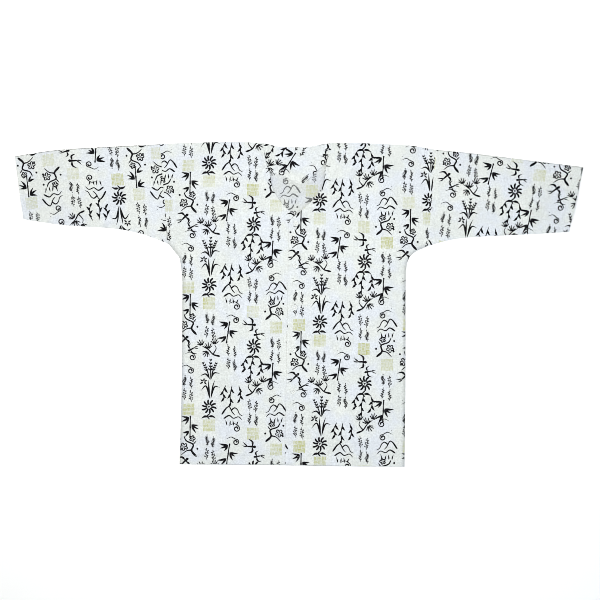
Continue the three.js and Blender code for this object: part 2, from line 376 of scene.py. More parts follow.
def joined_outline():
    """Lines where the upper and the lower cloth are joined. Hem, neck and cuffs are open."""
    t = np.linspace(0, 1, 40)
    under = [
        np.vstack([seam[::2], Spline([low for low, _ in sleeve])(t)])
        for seam, sleeve in zip(SIDE_SEAMS, (RIGHT_SLEEVE, LEFT_SLEEVE))
    ]
    right_top, left_top = (Spline([top for _, top in sleeve])(t) for sleeve in (RIGHT_SLEEVE, LEFT_SLEEVE))
    return under + [
        np.vstack([right_top[::-1], shoulder_line(RIGHT_ARMHOLE_END[1], RIGHT_NECK[-1][1])[::3]]),
        np.vstack([shoulder_line(LEFT_NECK[-1][1], LEFT_ARMHOLE_END[1])[::3], left_top]),
    ]


def distance_to(points, lines, reach=math.inf):
    """Each point's distance to the nearest of the lines, and never more than the reach."""
    corners = np.vstack(lines)
    near = ((points > corners.min(0) - reach) & (points < corners.max(0) + reach)).all(1)
    close = points[near]
    nearest = np.full(len(close), np.inf)
    for line in lines:
        for a, b in zip(line[:-1], line[1:]):
            along = b - a
            t = np.clip((close - a) @ along / max(along @ along, 1e-9), 0, 1)
            gap = close - a - t[:, None] * along
            nearest = np.minimum(nearest, np.einsum("ij,ij->i", gap, gap))
    distance = np.full(len(points), float(reach))
    distance[near] = np.minimum(np.sqrt(nearest), reach)
    return distance


class DistanceMap:
    """Distances to lines, read from a grid of them."""

    CELL = 2.0

    def __init__(self, lines, margin=12):
        corners = np.vstack(lines)
        self.low = corners.min(0) - margin
        self.size = np.ceil((corners.max(0) + margin - self.low) / self.CELL).astype(int) + 1
        x, y = (self.low[axis] + self.CELL * np.arange(self.size[axis]) for axis in (0, 1))
        grid = np.stack(np.meshgrid(x, y, indexing="ij"), axis=-1)
        self.values = distance_to(grid.reshape(-1, 2), lines).reshape(self.size)

    def __call__(self, points):
        at = np.clip((points - self.low) / self.CELL, 0, self.size - 1.001)
        i, j = at.astype(int).T
        u, v = (at - at.astype(int)).T
        below = lerp(self.values[i, j], self.values[i + 1, j], u)
        above = lerp(self.values[i, j + 1], self.values[i + 1, j + 1], u)
        return lerp(below, above, v)


from_joins = DistanceMap(joined_outline())
random.seed(7)
WAVES = tuple(
    (height, 2 * math.pi / length, random.uniform(0, math.pi), random.uniform(0, 2 * math.pi))
    for length, height in RIPPLES
    for _ in range(WAVES_EACH)
)


def ridges(p, table):
    """The height that the rows of FOLDS or CREASES add at each point."""
    total = np.zeros(len(p))
    for x, y, turn, reach, spread, height in table:
        across, along = ((p - (x, y)) @ turned(turn)).T
        total += height * np.exp(-((across / spread) ** 2) - (along / reach) ** 4)
    return total


def ripples(p):
    """Soft unevenness without a direction, from crossing waves."""
    total = np.zeros(len(p))
    for height, number, heading, phase in WAVES:
        total += height * np.sin(number * (p[:, 0] * math.cos(heading) + p[:, 1] * math.sin(heading)) + phase)
    return total


def upper_cloth(p):
    """Top of the cloth that lies on the back, over the facing, raised by air and folds."""
    x, y = p[:, 0], p[:, 1]
    hill = np.hypot((x - HILL_X) / HILL_HALF_WIDTH, (y - HILL_Y) / HILL_HALF_HEIGHT)
    over_facing = LAYER * (1 - smoothstep(hill, 1, 1 + HILL_FALL))
    from_edge = from_joins(p)
    loose = smoothstep(from_edge, 0, EDGE_RISE)
    calm = smoothstep(np.abs(x - lap_edge(0) - BUTTON_INSET), CALM_FROM, CALM_TO)
    fine = ridges(p, CREASES) + ripples(p)
    finer = smoothstep(from_edge, 0, EDGE_RISE / 4) * lerp(CALM_SHARE, 1, calm) * fine
    return LAYER + WALL + over_facing + loose * (AIR + calm * ridges(p, FOLDS)) + finer


def lap_cloth(p):
    """The left front also lies on the right front's hidden strip."""
    past_strip = p[:, 0] - LAP_EDGE_TOP[1] - OVERLAP
    return upper_cloth(p) + LAYER * (1 - smoothstep(past_strip, LAP_FLAT, LAP_FLAT + LAP_FALL))


# ---------------------------------------------------------------- the print: generic plants, no lettering

REPEAT = (235.0, 262.0)
MOTIF = 42.0
# How wide a stroke is along its length, both as shares
PRESSED = curve(((0, 0.6), (0.07, 1), (0.25, 0.78), (0.6, 0.62), (0.9, 0.5), (1, 0.14)))
LEAF = curve(((0, 0.14), (0.12, 0.6), (0.36, 1), (0.7, 0.66), (1, 0.04)))
JOINT = curve(((0, 1), (0.08, 0.72), (0.5, 0.6), (0.92, 0.74), (1, 1.05)))
EVEN = curve(((0, 0.55), (0.15, 1), (0.85, 1), (1, 0.4)))
BAR = curve(((0, 0.8), (0.2, 1), (0.8, 1), (1, 0.8)))
# Shares of ink and of gold, and how much wider than drawn each one's strokes are pressed
INK, SOFT_INK, GOLD, GOLD_LINE, PLAIN = (1.0, 0.0), (0.98, 0.0), (0.0, 0.26), (0.0, 0.85), (0.0, 0.0)
WEIGHT = {INK: 1.33, SOFT_INK: 1.28, GOLD_LINE: 1.0}
SWELL = 1.12
# A stroke's round end: its points in radians from the tip, and its length in half widths
CAP = (-0.9, 0.0, 0.9)
CAP_REACH = 0.85


def ccw(polygon):
    x, y = polygon.T
    return polygon if np.dot(x, np.roll(y, -1)) > np.dot(y, np.roll(x, -1)) else polygon[::-1]


def brush(path, width, profile=PRESSED, tone=INK, samples=7):
    """One brush stroke along a path, as (outline, tone). Its ends are round."""
    t = np.linspace(0, 1, 2 * samples + 1)
    line = Spline(path)(t)
    way = unit(np.gradient(line, axis=0))
    half = (width / 2 * WEIGHT[tone] * profile(t))[:, None]
    side = left_of(way) * half
    caps = []
    for end, out in ((0, -1), (-1, 1)):
        tip = out * CAP_REACH * half[end] * way[end]
        caps.append([line[end] + tip * math.cos(a) - out * side[end] * math.sin(a) for a in CAP])
    return ccw(np.vstack([caps[0], line + side, caps[1], (line - side)[::-1]])), tone


def ray(origin, angle, length, width, profile=LEAF, bend=0.0, start=0.0, tone=INK, samples=5):
    """A stroke that leaves a point at an angle in degrees, bent sideways by a share of its length."""
    way, side = turned(angle)
    origin = np.array(origin, float) + way * start
    middle = origin + way * length * 0.52 + side * length * bend
    return brush([origin, middle, origin + way * length], width, profile, tone, samples)


def mirrored(path, flip):
    return [(x * flip, y) for x, y in path]


def bamboo(rng):
    x, lean = rng.uniform(-5, 5), rng.uniform(-3, 3)
    yield brush([(x, 20), (x + lean * 0.4, 10), (x + lean * 0.5, 1)], 2.5, JOINT, samples=5)
    yield brush([(x + lean * 0.5, -1), (x + lean, -10), (x + lean, -20)], 2.5, JOINT, samples=5)
    for y, side, angles in ((18, -1, (-118, -150, 176)), (4, 1, (-34, -66, -4)), (-8, -1, (-122, -158))):
        foot = (x + lean * 0.5 + side * 2.6, y)
        for angle in angles:
            turn = angle + rng.uniform(-6, 6)
            yield ray(foot, turn, rng.uniform(13, 19), rng.uniform(2.7, 3.5), bend=-0.06 * side)


def orchid(rng):
    flip = rng.choice((-1, 1))
    for foot, bow, (x, y) in (
        (-1, (-9, 4), (-19, 2)),
        (-1, (-5, 6), (-9, 18)),
        (1, (3, 2), (4, 19)),
        (1, (9, 5), (19, -4)),
    ):
        blade = mirrored([(foot, -19), bow, (x, y + rng.uniform(-2, 2))], flip)
        yield brush(blade, rng.uniform(1.9, 2.5), LEAF, samples=8)
    for angle in (80, 18, 152, -42, 212):
        turn = angle + rng.uniform(-8, 8)
        yield ray((13 * flip, 13), turn, rng.uniform(5.5, 7.5), 2.4, start=1.2)


def blossom(x, y, radius, turn, rng):
    for k in range(5):
        petal = []
        for offset, share in ((-33, 0.42), (-19, 0.92), (0, 1.08), (19, 0.92), (33, 0.42)):
            a = math.radians(turn + 72 * k + offset)
            petal.append((x + radius * share * math.cos(a), y + radius * share * math.sin(a)))
        yield brush(petal, rng.uniform(1.3, 1.8), EVEN, samples=6)
        yield ray((x, y), turn + 72 * k + 36, radius * 0.4, 0.9, EVEN, start=0.7, samples=3)


def plum(rng):
    flip = rng.choice((-1, 1))
    yield brush(mirrored([(-15, -19), (-6, -8), (-9, 3), (5, 11), (9, 20)], flip), 3.4, samples=12)
    yield brush(mirrored([(-7, -7), (4, -9), (14, -17)], flip), 2.4)
    yield brush(mirrored([(-9, 4), (-15, 11)], flip), 1.8, LEAF, samples=4)
    yield from blossom(9 * flip, -1, 6.8, rng.uniform(0, 72), rng)
    yield from blossom(-7 * flip, 15, 5.2, rng.uniform(0, 72), rng)
    for x, y in ((16, -7), (-17, -3), (16, 13)):
        yield ray((x * flip, y), rng.uniform(0, 360), 3.0, 2.8, EVEN, samples=3)


def pine(rng):
    flip = rng.choice((-1, 1))
    yield brush(mirrored([(-17, -14), (-5, -10), (4, 0), (16, 8)], flip), 2.8, samples=9)
    yield brush(mirrored([(-5, -9), (-11, 2), (-8, 9)], flip), 1.9)
    for x, y, heading in ((-8, 9, 100), (4, 1, 95), (16, 8, 70), (6, -2, -60)):
        heading = heading if flip > 0 else 180 - heading
        for k in range(-2, 3):
            angle, length = heading + 25 * k + rng.uniform(-4, 4), 11.5 - 0.8 * k * k
            yield ray((x * flip, y), angle, length, 1.5, EVEN, start=1.6, samples=4)


def stream(rng):
    """Water with three curling waves."""
    flip = rng.choice((-1, 1))
    for k, (y, turns) in enumerate(((13, 1.25), (0, 1.0), (-13, 1.35))):
        side = flip * (-1) ** k
        path = []
        for j in range(9):
            a, r = math.radians(200 - 360 * turns * j / 8), 2.0 + 4.4 * j / 8
            path.append((side * (-8 + r * math.cos(a)), y + r * math.sin(a)))
        x, y_end = path[-1]
        path += [(x + side * 8, y_end + 3.2), (x + side * 17, y_end - 1.5)]
        yield brush(path, 2.4, samples=24)


def grass(rng):
    for reach, top in ((-13, 14), (3, 20), (14, 11)):
        path = [(reach * 0.1, -20), (reach * 0.4, -4), (reach, top)]
        yield brush(path, 1.8, LEAF)
        stem = Spline(path)
        for k in range(4):
            for side in (-1, 1):
                angle = 90 + side * (44 - 4 * k) - reach
                yield ray(stem(0.52 + 0.13 * k), angle, 6.6 - 0.6 * k, 1.9, samples=4)
    yield brush([(0, -20), (-9, -9), (-19, -12)], 2.4, LEAF)
    yield brush([(0, -20), (8, -8), (19, -10)], 2.4, LEAF)


def mum(rng):
    x, y = rng.uniform(-3, 3), rng.uniform(2, 5)
    turn = rng.uniform(0, 36)
    for k in range(10):
        yield ray((x, y), turn + 36 * k, rng.uniform(9, 11), 2.6, EVEN, 0.12, start=4, samples=6)
    for k in range(3):
        yield ray((x, y), turn + 120 * k, 1.6, 1.5, EVEN, start=0.4, samples=3)
    yield brush([(x + 1, y - 14), (x - 3, -15), (x + 1, -21)], 2.0, EVEN, samples=5)
    for side, angle in ((1, -12), (-1, 196)):
        yield ray((x - 1, -16), angle, 14, 3.4, bend=0.14 * side)


def willow(rng):
    """Hanging stems with leaves in pairs."""
    flip = rng.choice((-1, 1))
    for x, sway, low in ((-12, -4, -9), (1, 3, -18), (13, 5, -6)):
        path = mirrored([(x, 20), (x + sway, (20 + low) / 2), (x + sway * 0.4, low)], flip)
        yield brush(path, 1.4, EVEN, samples=8)
        stem = Spline(path)
        for k in range(4):
            side = (-1) ** k
            turn = -90 + side * rng.uniform(30, 44)
            yield ray(stem(0.16 + 0.24 * k), turn, rng.uniform(9, 12), 3.1, bend=-0.1 * side)


# A bird's body, wings and tail: path, width, profile
BIRD = (
    ([(9, 1), (2, 0), (-7, -2)], 4.2, PRESSED),
    ([(3, 1), (1, 9), (-9, 13)], 3.0, LEAF),
    ([(3, -1), (5, -9), (-2, -14)], 3.0, LEAF),
    ([(-6, -1), (-11, 1), (-17, 5)], 1.9, LEAF),
    ([(-6, -2), (-11, -3), (-17, -2)], 1.9, LEAF),
)


def swallows(rng):
    """Two birds in flight."""
    for x, y, size, turn in ((-6, 9, 1.0, rng.uniform(-20, 30)), (7, -11, 0.82, rng.uniform(150, 200))):
        for path, width, profile in BIRD:
            yield brush(size * np.array(path) @ turned(turn) + (x, y), width * size, profile)


def hills(rng):
    """Three ridges, and reeds before them."""
    flip = rng.choice((-1, 1))
    for path, width in (
        ([(-20, 2), (-12, 14), (-7, 17), (0, 6), (5, 1)], 2.5),
        ([(-3, 10), (4, 15), (9, 12), (14, 3), (20, 0)], 2.2),
        ([(-16, -6), (-6, 0), (2, -5), (12, -2), (19, -8)], 2.4),
    ):
        yield brush(mirrored(path, flip), width, samples=10)
    for x, lean in ((-10, -3), (-4, 1), (3, -2), (9, 3)):
        path = [(x, -19), (x + lean * 0.3, -14), (x + lean, -8 + rng.uniform(-2, 1))]
        yield brush(mirrored(path, flip), 1.9, LEAF, samples=5)


# What grows from a twig at a place, a share of the way up it, on one side, at one of its steps


def leafy(at, share, out, step):
    """A leaf, smaller towards the tip."""
    yield ray(at, 90 - 48 * out, 5.4 - 1.9 * share, 2.3, LEAF, 0.14 * out, 0.2, SOFT_INK, 4)


def berried(at, share, out, step):
    """A berry on its stalk."""
    angle, reach = 90 - (34 + 14 * (step % 3)) * out, 3.4 - 1.2 * share
    yield ray(at, angle, reach, 0.9, EVEN, 0.1 * out, 0, SOFT_INK, 3)
    yield ray(at, angle, 2.0, 2.3, EVEN, 0, reach, SOFT_INK, 3)


def ferny(at, share, out, step):
    """Fern leaflets on both sides."""
    length = 4.9 * math.sin(math.pi * (0.22 + 0.7 * share))
    for turn in (-1, 1):
        yield ray(at, 90 - 56 * turn, length, 1.35, EVEN, 0.16 * turn, 0, SOFT_INK, 4)


TWIG, TWIG_GAP = 23.5, 5.5
TWIGS = ((leafy, 8), (berried, 8), (ferny, 7))


def twig(rng, x, y, growth, nodes):
    """A thin twig that grows up from (x, y)."""
    side, lean = rng.choice((-1, 1)), rng.uniform(-1.6, 1.6)
    bows = (-lean, 1.5 * side, -1.2 * side, lean)
    stem = [(x + bow, y + TWIG * step / 3) for step, bow in enumerate(bows)]
    spine = Spline(stem)
    yield brush(stem, 1.05, EVEN, SOFT_INK, 8)
    yield ray(spine(1), 90, 3.2, 1.8, LEAF, 0, -0.6, SOFT_INK, 3)
    for step in range(nodes):
        share = 0.12 + 0.8 * step / nodes
        yield from growth(spine(share), share, side if step % 2 else -side, step)


def fine_lines(rng):
    """Two lines of twigs."""
    for x, top in ((-6.8, 31), (6.8, 27)):
        for step, (growth, nodes) in enumerate(rng.sample(TWIGS, 2)):
            y = top - (step + 1) * (TWIG + TWIG_GAP)
            yield from twig(rng, x + rng.uniform(-0.8, 0.8), y, growth, nodes)


def leaf_metal(rng):
    """A patch of gold leaf, laid as a basket weave with ragged edges."""
    half, block_pitch, bar_pitch = 13.0, 8.7, 2.9
    ragged = []
    for k in range(4):
        way, side = np.round(turned(90 * k))
        for share in (-1.0, -0.5, 0.0, 0.5):
            ragged.append(way * (half + rng.uniform(-1.6, 0.6)) + side * share * half)
    yield ccw(np.array(ragged)), GOLD
    for block in range(9):
        centre = (block_pitch * (block % 3 - 1), block_pitch * (block // 3 - 1))
        for k in (-1, 0, 1):
            reach = 3.7 + rng.uniform(-0.9, 0.5)
            beside = k * bar_pitch + rng.uniform(-0.2, 0.2)
            bar = np.array([(-reach, beside), (reach, beside)])
            ends = (bar if block % 2 else bar[:, ::-1]) + centre
            yield brush(ends, rng.uniform(1.5, 2.0), BAR, GOLD_LINE, samples=3)


def bare(rng):
    """Plain cloth."""
    return ()


# Motifs that aren't MOTIF high, and those that don't lean
HEIGHTS = {fine_lines: 62.0, leaf_metal: 32.0, bare: 32.0}
UPRIGHT = (fine_lines, leaf_metal)
# Columns of the repeat: where each stands, where it starts, and what it holds from the top down
COLUMNS = (
    (23, 0, (bamboo, plum, swallows, stream, fine_lines, leaf_metal)),
    (70, 96, (pine, grass, orchid, mum, leaf_metal, fine_lines)),
    (117, 196, (willow, hills, stream, bamboo, fine_lines, bare)),
    (164, 52, (swallows, mum, willow, pine, fine_lines, leaf_metal)),
    (211, 148, (bamboo, stream, hills, plum, leaf_metal, fine_lines)),
)


def repeat_of_print():
    """The strokes of one repeat, each with its outline in millimetres."""
    rng = random.Random(11)
    strokes = []
    for x, start, motifs in COLUMNS:
        y = -start
        for motif in motifs:
            height = HEIGHTS.get(motif, MOTIF)
            lean, swell = (0, 1) if motif in UPRIGHT else (rng.uniform(-7, 7), SWELL)
            shift = (x + rng.uniform(-2, 2), y - height / 2)
            strokes += [(swell * outline @ turned(lean) + shift, tone) for outline, tone in motif(rng)]
            y -= height
    return strokes


PRINT = repeat_of_print()


def thinned(line, slack):
    """A line without the points that it passes within the slack anyway."""
    way = line[-1] - line[0]
    off = np.abs((line[:, 0] - line[0, 0]) * way[1] - (line[:, 1] - line[0, 1]) * way[0]) / np.hypot(*way)
    k = int(off.argmax())
    if off[k] <= slack:
        return line[[0, -1]]
    return np.vstack([thinned(line[: k + 1], slack)[:-1], thinned(line[k:], slack)])


def thinned_print(slack):
    """The print with each outline thinned, from its start to its middle and back."""
    found = []
    for outline, tone in PRINT:
        middle = len(outline) // 2
        halves = outline[: middle + 1], np.vstack([outline[middle:], outline[:1]])
        found.append((np.vstack([thinned(half, slack)[:-1] for half in halves]), tone))
    return found


def within(points, outline):
    """Whether each point lies inside the closed outline."""
    x, y = points[:, 0], points[:, 1]
    inside = np.zeros(len(points), bool)
    for (ax, ay), (bx, by) in zip(outline, np.roll(outline, -1, axis=0)):
        if ay != by:
            inside ^= ((ay > y) != (by > y)) & (x < ax + (y - ay) * (bx - ax) / (by - ay))
    return inside


def strokes_on(cut):
    """The print's strokes that reach into a cut."""
    strokes = thinned_print(cut.slack)
    spin = turned(cut.print_turn) @ np.diag([-1 if cut.is_mirrored else 1, 1])
    in_print = (cut.outline - cut.print_at) @ np.linalg.inv(spin)
    low = np.floor(in_print.min(0) / REPEAT).astype(int) - 1
    high = np.ceil(in_print.max(0) / REPEAT).astype(int) + 1
    points = np.vstack([outline for outline, _ in strokes])
    ends = np.cumsum([len(outline) for outline, _ in strokes])
    found = []
    for i in range(low[0], high[0] + 1):
        for j in range(low[1], high[1] + 1):
            moved = (points + (i * REPEAT[0], j * REPEAT[1])) @ spin + cut.print_at
            inside = within(moved, cut.outline)
            if not inside.any():
                continue
            start = 0
            for end, (_, tone) in zip(ends, strokes):
                if inside[start:end].any():
                    found.append((ccw(moved[start:end]), tone))
                start = end
    return found


# ---------------------------------------------------------------- cloth from cuts


# Nearer together than this, points of an outline are one; a grid keeps this share of its pitch off the rim
MERGE_GAP = 0.05
RIM_CLEARANCE = 0.4


def filled(outlines, loose, keeps, epsilon=1e-4):
    """Points and triangles over outlines and loose points, and which outlines hold each kept triangle."""
    starts = np.cumsum([0] + [len(outline) for outline in outlines])
    faces = [list(range(a, b)) for a, b in zip(starts[:-1], starts[1:])]
    points = [Vector(p) for p in np.vstack([*outlines, *loose])]
    found, _, triangles, _, _, holders = delaunay_2d_cdt(points, [], faces, 1, epsilon, True)
    kept = [k for k, held_by in enumerate(holders) if keeps(held_by)]
    used, index = np.unique(np.array([triangles[k] for k in kept]), return_inverse=True)
    return np.array([found[i] for i in used]), index.reshape(-1, 3), [holders[k] for k in kept]


def triangulate(outline, strokes, spacing):
    """A cut as points, triangles, and each triangle's tone. Every stroke's outline is kept as edges."""
    x, y = np.meshgrid(
        np.arange(outline[:, 0].min(), outline[:, 0].max(), spacing),
        np.arange(outline[:, 1].min(), outline[:, 1].max(), spacing * math.sqrt(3) / 2),
    )
    x = x + (np.arange(len(x)) % 2)[:, None] * spacing / 2
    grid = np.column_stack([x.ravel(), y.ravel()])
    grid = grid[within(grid, outline)]
    rim = [np.vstack([outline, outline[:1]])]
    grid = grid[distance_to(grid, rim) > spacing * RIM_CLEARANCE]
    outlines = [outline] + [polygon for polygon, _ in strokes]
    points, triangles, holders = filled(outlines, [grid], lambda held_by: 0 in held_by)
    tones = []
    for held_by in holders:
        marks = [strokes[k - 1][1] for k in held_by if k] or [PLAIN]
        tones.append([max(shares) for shares in zip(*marks)])
    return points, triangles, np.array(tones)


def boundary_loops(triangles):
    """The open edges of a triangulation as loops of points, and the triangle that each edge is on."""
    edges = np.vstack([triangles[:, [0, 1]], triangles[:, [1, 2]], triangles[:, [2, 0]]])
    size = triangles.max() + 1
    keys, back_keys = edges[:, 0] * size + edges[:, 1], edges[:, 1] * size + edges[:, 0]
    is_open = ~np.isin(keys, back_keys)
    owner = np.tile(np.arange(len(triangles)), 3)[is_open]
    follow = {int(a): (int(b), int(t)) for (a, b), t in zip(edges[is_open], owner)}
    loops = []
    while follow:
        first = next(iter(follow))
        loop, owners, at = [], [], first
        while at in follow:
            after, triangle = follow.pop(at)
            loop.append(at)
            owners.append(triangle)
            at = after
        loops.append((np.array(loop), np.array(owners)))
    return loops


def outward(cut, d):
    """Points of a cut's outer face and its unit normals there."""
    reach = 0.3
    at = cut.place(d)
    return at, unit(np.cross(cut.place(d + (reach, 0)) - at, cut.place(d + (0, reach)) - at) * cut.facing)


def wall(upper, lower):
    """Triangles between two loops of points."""
    after_upper, after_lower = np.roll(upper, -1), np.roll(lower, -1)
    first = np.column_stack([upper, lower, after_lower])
    return np.vstack([first, np.column_stack([upper, after_lower, after_upper])])


def linked(name, data):
    made = bpy.data.objects.new(name, data)
    bpy.context.scene.collection.objects.link(made)
    return made


def new_object(name, vertices, triangles, normals, materials, slots=None, tones=None, uv=None):
    """A mesh object, from millimetres. Slots are each face's material. Tones and uv are for corners."""
    mesh = bpy.data.meshes.new(name)
    mesh.vertices.add(len(vertices))
    mesh.vertices.foreach_set("co", (vertices * MM).astype(np.float32).ravel())
    mesh.loops.add(triangles.size)
    mesh.loops.foreach_set("vertex_index", triangles.astype(np.int32).ravel())
    mesh.polygons.add(len(triangles))
    mesh.polygons.foreach_set("loop_start", np.arange(0, triangles.size, 3, dtype=np.int32))
    if slots is not None:
        mesh.polygons.foreach_set("material_index", slots.astype(np.int32))
    for material in materials:
        mesh.materials.append(material)
    mesh.update(calc_edges=True)
    if uv is not None:
        mesh.uv_layers.new(name="cloth").uv.foreach_set("vector", uv.astype(np.float32).ravel())
    if tones is not None:
        colour = np.ones((triangles.size, 4), np.float32)
        colour[:, :3] = tones
        # The layer named print holds ink in red, gold in green, and painted shade beside the side seams in
        # blue
        layer = mesh.color_attributes.new("print", "FLOAT_COLOR", "CORNER")
        layer.data.foreach_set("color", colour.ravel())
    if mesh.validate(verbose=False):
        raise ValueError(f"{name} has faces that Blender can't keep")
    mesh.normals_split_custom_set_from_vertices(normals.astype(np.float32))
    return linked(name, mesh)


def shows_inside(outline, window):
    """Whether a stroke lies in the window, two corners of it, through which the inner face is seen."""
    return window and (outline.min(0) > window[0]).all() and (outline.max(0) < window[1]).all()


RIM_BULGE = 0.16
RIM_TOLERANCE = 0.01
INNER_GRID = 6.6


def make_cloth(cut, materials):
    """A cut's thin closed shell: its printed face, its plain inner face, and a rounded rim between."""
    strokes = strokes_on(cut)
    d, faces, tones = triangulate(cut.outline, strokes, cut.grid)
    loops = boundary_loops(faces)
    loop, owners = max(loops, key=lambda found: len(found[0]))
    if len(loops) != 1:
        raise ValueError(f"{cut.name} has {len(loops)} edges")
    showing = [stroke for stroke in strokes if shows_inside(stroke[0], cut.seen_inside)]
    inner_d, inner_faces, inner_tones = triangulate(d[loop], showing, INNER_GRID)
    inner_loop = boundary_loops(inner_faces)[0][0]
    inner_loop = np.roll(inner_loop, -int(np.linalg.norm(inner_d[inner_loop] - d[loop[0]], axis=1).argmin()))
    if len(inner_loop) != len(loop) or np.abs(inner_d[inner_loop] - d[loop]).max() > RIM_TOLERANCE:
        raise ValueError(f"{cut.name}: the edges of its two faces differ")

    outer, normal = outward(cut, d)
    inner, inner_normal = outward(cut, inner_d)
    inner = inner - inner_normal * cut.thickness(inner_d)[:, None]
    middle = (outer[loop] + inner[inner_loop]) / 2
    way = np.roll(middle, -1, axis=0) - np.roll(middle, 1, axis=0)
    side = unit(np.cross(way, normal[loop]) * cut.facing)
    middle += side * RIM_BULGE

    inner_ring = len(outer) + inner_loop
    middle_ring = len(outer) + len(inner) + np.arange(len(loop))
    rim = [wall(loop, middle_ring), wall(middle_ring, inner_ring)]
    triangles = np.vstack([faces, inner_faces[:, ::-1] + len(outer), *rim])
    if cut.facing < 0:
        triangles = triangles[:, ::-1]
    slots = np.zeros(len(triangles), int)
    slots[len(faces) : len(faces) + len(inner_faces)] = 1
    tone = np.vstack([tones, inner_tones, *[tones[owners]] * 4])
    flat = np.vstack([d, inner_d, d[loop]])
    corners = triangles.ravel()
    # Each corner gets its ink and gold tone, and the painted shade beside the side seams
    return new_object(
        cut.name + "_cloth",
        np.vstack([outer, inner, middle]),
        triangles,
        np.vstack([normal, -inner_normal, side]),
        materials,
        slots,
        np.column_stack([np.repeat(tone, 3, axis=0), cut.painted_seam_shade(flat)[corners]]),
        flat[corners] * MM,
    )


# ---------------------------------------------------------------- the pieces' cuts

# A closed seam: the height of its middle, half the gap between its two cloths, and how far it pulls
SEAM_LEVEL = 1.05
SEAM_HALF_GAP = 0.05
SEAM_RUN = 5.0
# How far the painted shade beside a side seam reaches, then the depth and width of the groove that a seam
# pulls in
SHADE_RUN = 8.0
DIP_DEPTH = 0.22
DIP_WIDTH = 1.8
# A stitched band: its rise and the softness of its step, its stitches' groove, and their puckers
BAND_RISE = 0.28
BAND_BLEND = 0.7
STITCH_INSET = 2.0
GROOVE_DEPTH = 0.3
GROOVE_WIDTH = 1.1
PUCKER_HEIGHT = 0.11
PUCKER_WIDTH = 6
PUCKER_LENGTH = 8.5
# The lowest cloth: its height over the floor, and its share of the ripples
UNDER_LIFT = 0.15
UNDER_RIPPLE = 0.16
# The facing: its hem, its rise over what it lies on, how it falls to its edges, its share of the ripples
FACING_DEPTH = 6
FACING_LIFT = 0.12
FACING_FALL = 0.35
FACING_RUN = 9
FACING_RIPPLE = 0.1
# How far a front sinks towards its neck edge, and over what width
NECK_RUN = 14
RIGHT_NECK_FALL = 0.9
LEFT_NECK_FALL = 0.3
# Shallow creases of the back where the neck shows it, in the columns of FOLDS
NECK_CREASES = (
    (28, 246, 32, 44, 4, 0.45),
    (-24, 222, -22, 34, 4, 0.35),
    (2, 205, 4, 24, 3.5, 0.3),
)


def banded(distance, depth):
    return 1 - smoothstep(distance, depth - BAND_BLEND, depth + BAND_BLEND)


def stitched(distance, depth, along):
    """Relief of a folded edge: the double cloth stands up, its stitches sink in and pucker it."""
    from_stitches = distance - depth + STITCH_INSET
    groove = GROOVE_DEPTH * bell(from_stitches, GROOVE_WIDTH)
    wave = np.sin(2 * math.pi * along / PUCKER_LENGTH + 0.9 * np.sin(along / 17))
    pucker = PUCKER_HEIGHT * wave * bell(from_stitches, PUCKER_WIDTH)
    return BAND_RISE * banded(distance, depth) - groove + pucker


class Cut:
    """A flat piece of cloth: how it is meshed, and where the print lies on it."""

    is_mirrored = False
    is_joined = True
    seen_inside = None

    def __init__(self, name, facing, print_at, print_turn, grid=GRID, slack=SLACK):
        self.name, self.facing, self.grid, self.slack = name, facing, grid, slack
        self.print_at, self.print_turn = np.array(print_at, float), print_turn

    def painted_seam_shade(self, d):
        """How much painted shade darkens the cloth beside a side seam, as a share."""
        return np.zeros(len(d))


class Panel(Cut):
    """A piece whose cut is its own plan."""

    def __init__(self, name, outline, height, bands, print_at, print_turn=0, facing=1, **mesh):
        super().__init__(name, facing, print_at, print_turn, **mesh)
        self.outline, self.height, self.bands = outline, height, bands

    def painted_seam_shade(self, d):
        # Painted shade: full at a side seam, gone SHADE_RUN millimetres from it
        return 1 - smoothstep(distance_to(d, SIDE_SEAMS, SHADE_RUN), 0, SHADE_RUN)

    def thickness(self, d):
        double = np.zeros(len(d))
        for distance, depth in self.bands:
            double = np.maximum(double, banded(distance(d), depth))
        return lerp(CLOTH, HEM_CLOTH, double)

    def place(self, d):
        z = self.height(d)
        for distance, depth in self.bands:
            z = z + self.facing * stitched(distance(d), depth, d[:, 0] + d[:, 1])
        closing = 1 - smoothstep(from_joins(d), 0, SEAM_RUN)
        at_seam = SEAM_LEVEL + self.facing * (SEAM_HALF_GAP + self.thickness(d))
        if self.facing < 0:
            z = np.maximum(z, 0)
        if self.is_joined:
            z = lerp(z, at_seam, closing)
        return np.column_stack([d, z])


def from_line(a, b):
    """Distance above the straight line through two (x, y) points."""
    way = unit(np.subtract(b, a))
    return lambda d: (d[:, 1] - a[1]) * way[0] - (d[:, 0] - a[0]) * way[1]


def from_curve(line):
    return lambda d: distance_to(d, [line], 40)


def foot(edge):
    """Where an edge meets the hem."""
    return float(edge(edge.low)), edge.low


RIGHT_HEM, LEFT_HEM, LAP_HEM, HIDDEN_HEM = map(foot, (right_side, left_side, lap_edge, hidden_edge))
right_line, left_line = (line_of_y(side, side.low, side.high) for side in (right_side, left_side))
lap_line = line_of_y(lap_edge, lap_edge.low, lap_edge.corner)
hidden_line = line_of_y(hidden_edge, hidden_edge.low, hidden_edge.corner)
left_neck_line = line_of_y(lap_edge, lap_edge.corner, lap_edge.high)
right_neck_line = line_of_y(hidden_edge, hidden_edge.corner + 0.01, hidden_edge.high)
facing_x = steps(FACING_EDGE[0][0], FACING_EDGE[-1][0])
facing_line = np.column_stack([facing_x, facing_edge(facing_x)])
neckline = shoulder_line(FACING_EDGE[-1][0], FACING_EDGE[0][0]) - (0, SEAM_GAP)


def hem_line(a, b):
    t = np.linspace(0, 1, max(2, round(math.dist(a, b) / EDGE_STEP)))[:, None]
    return np.array(a) * (1 - t) + np.array(b) * t


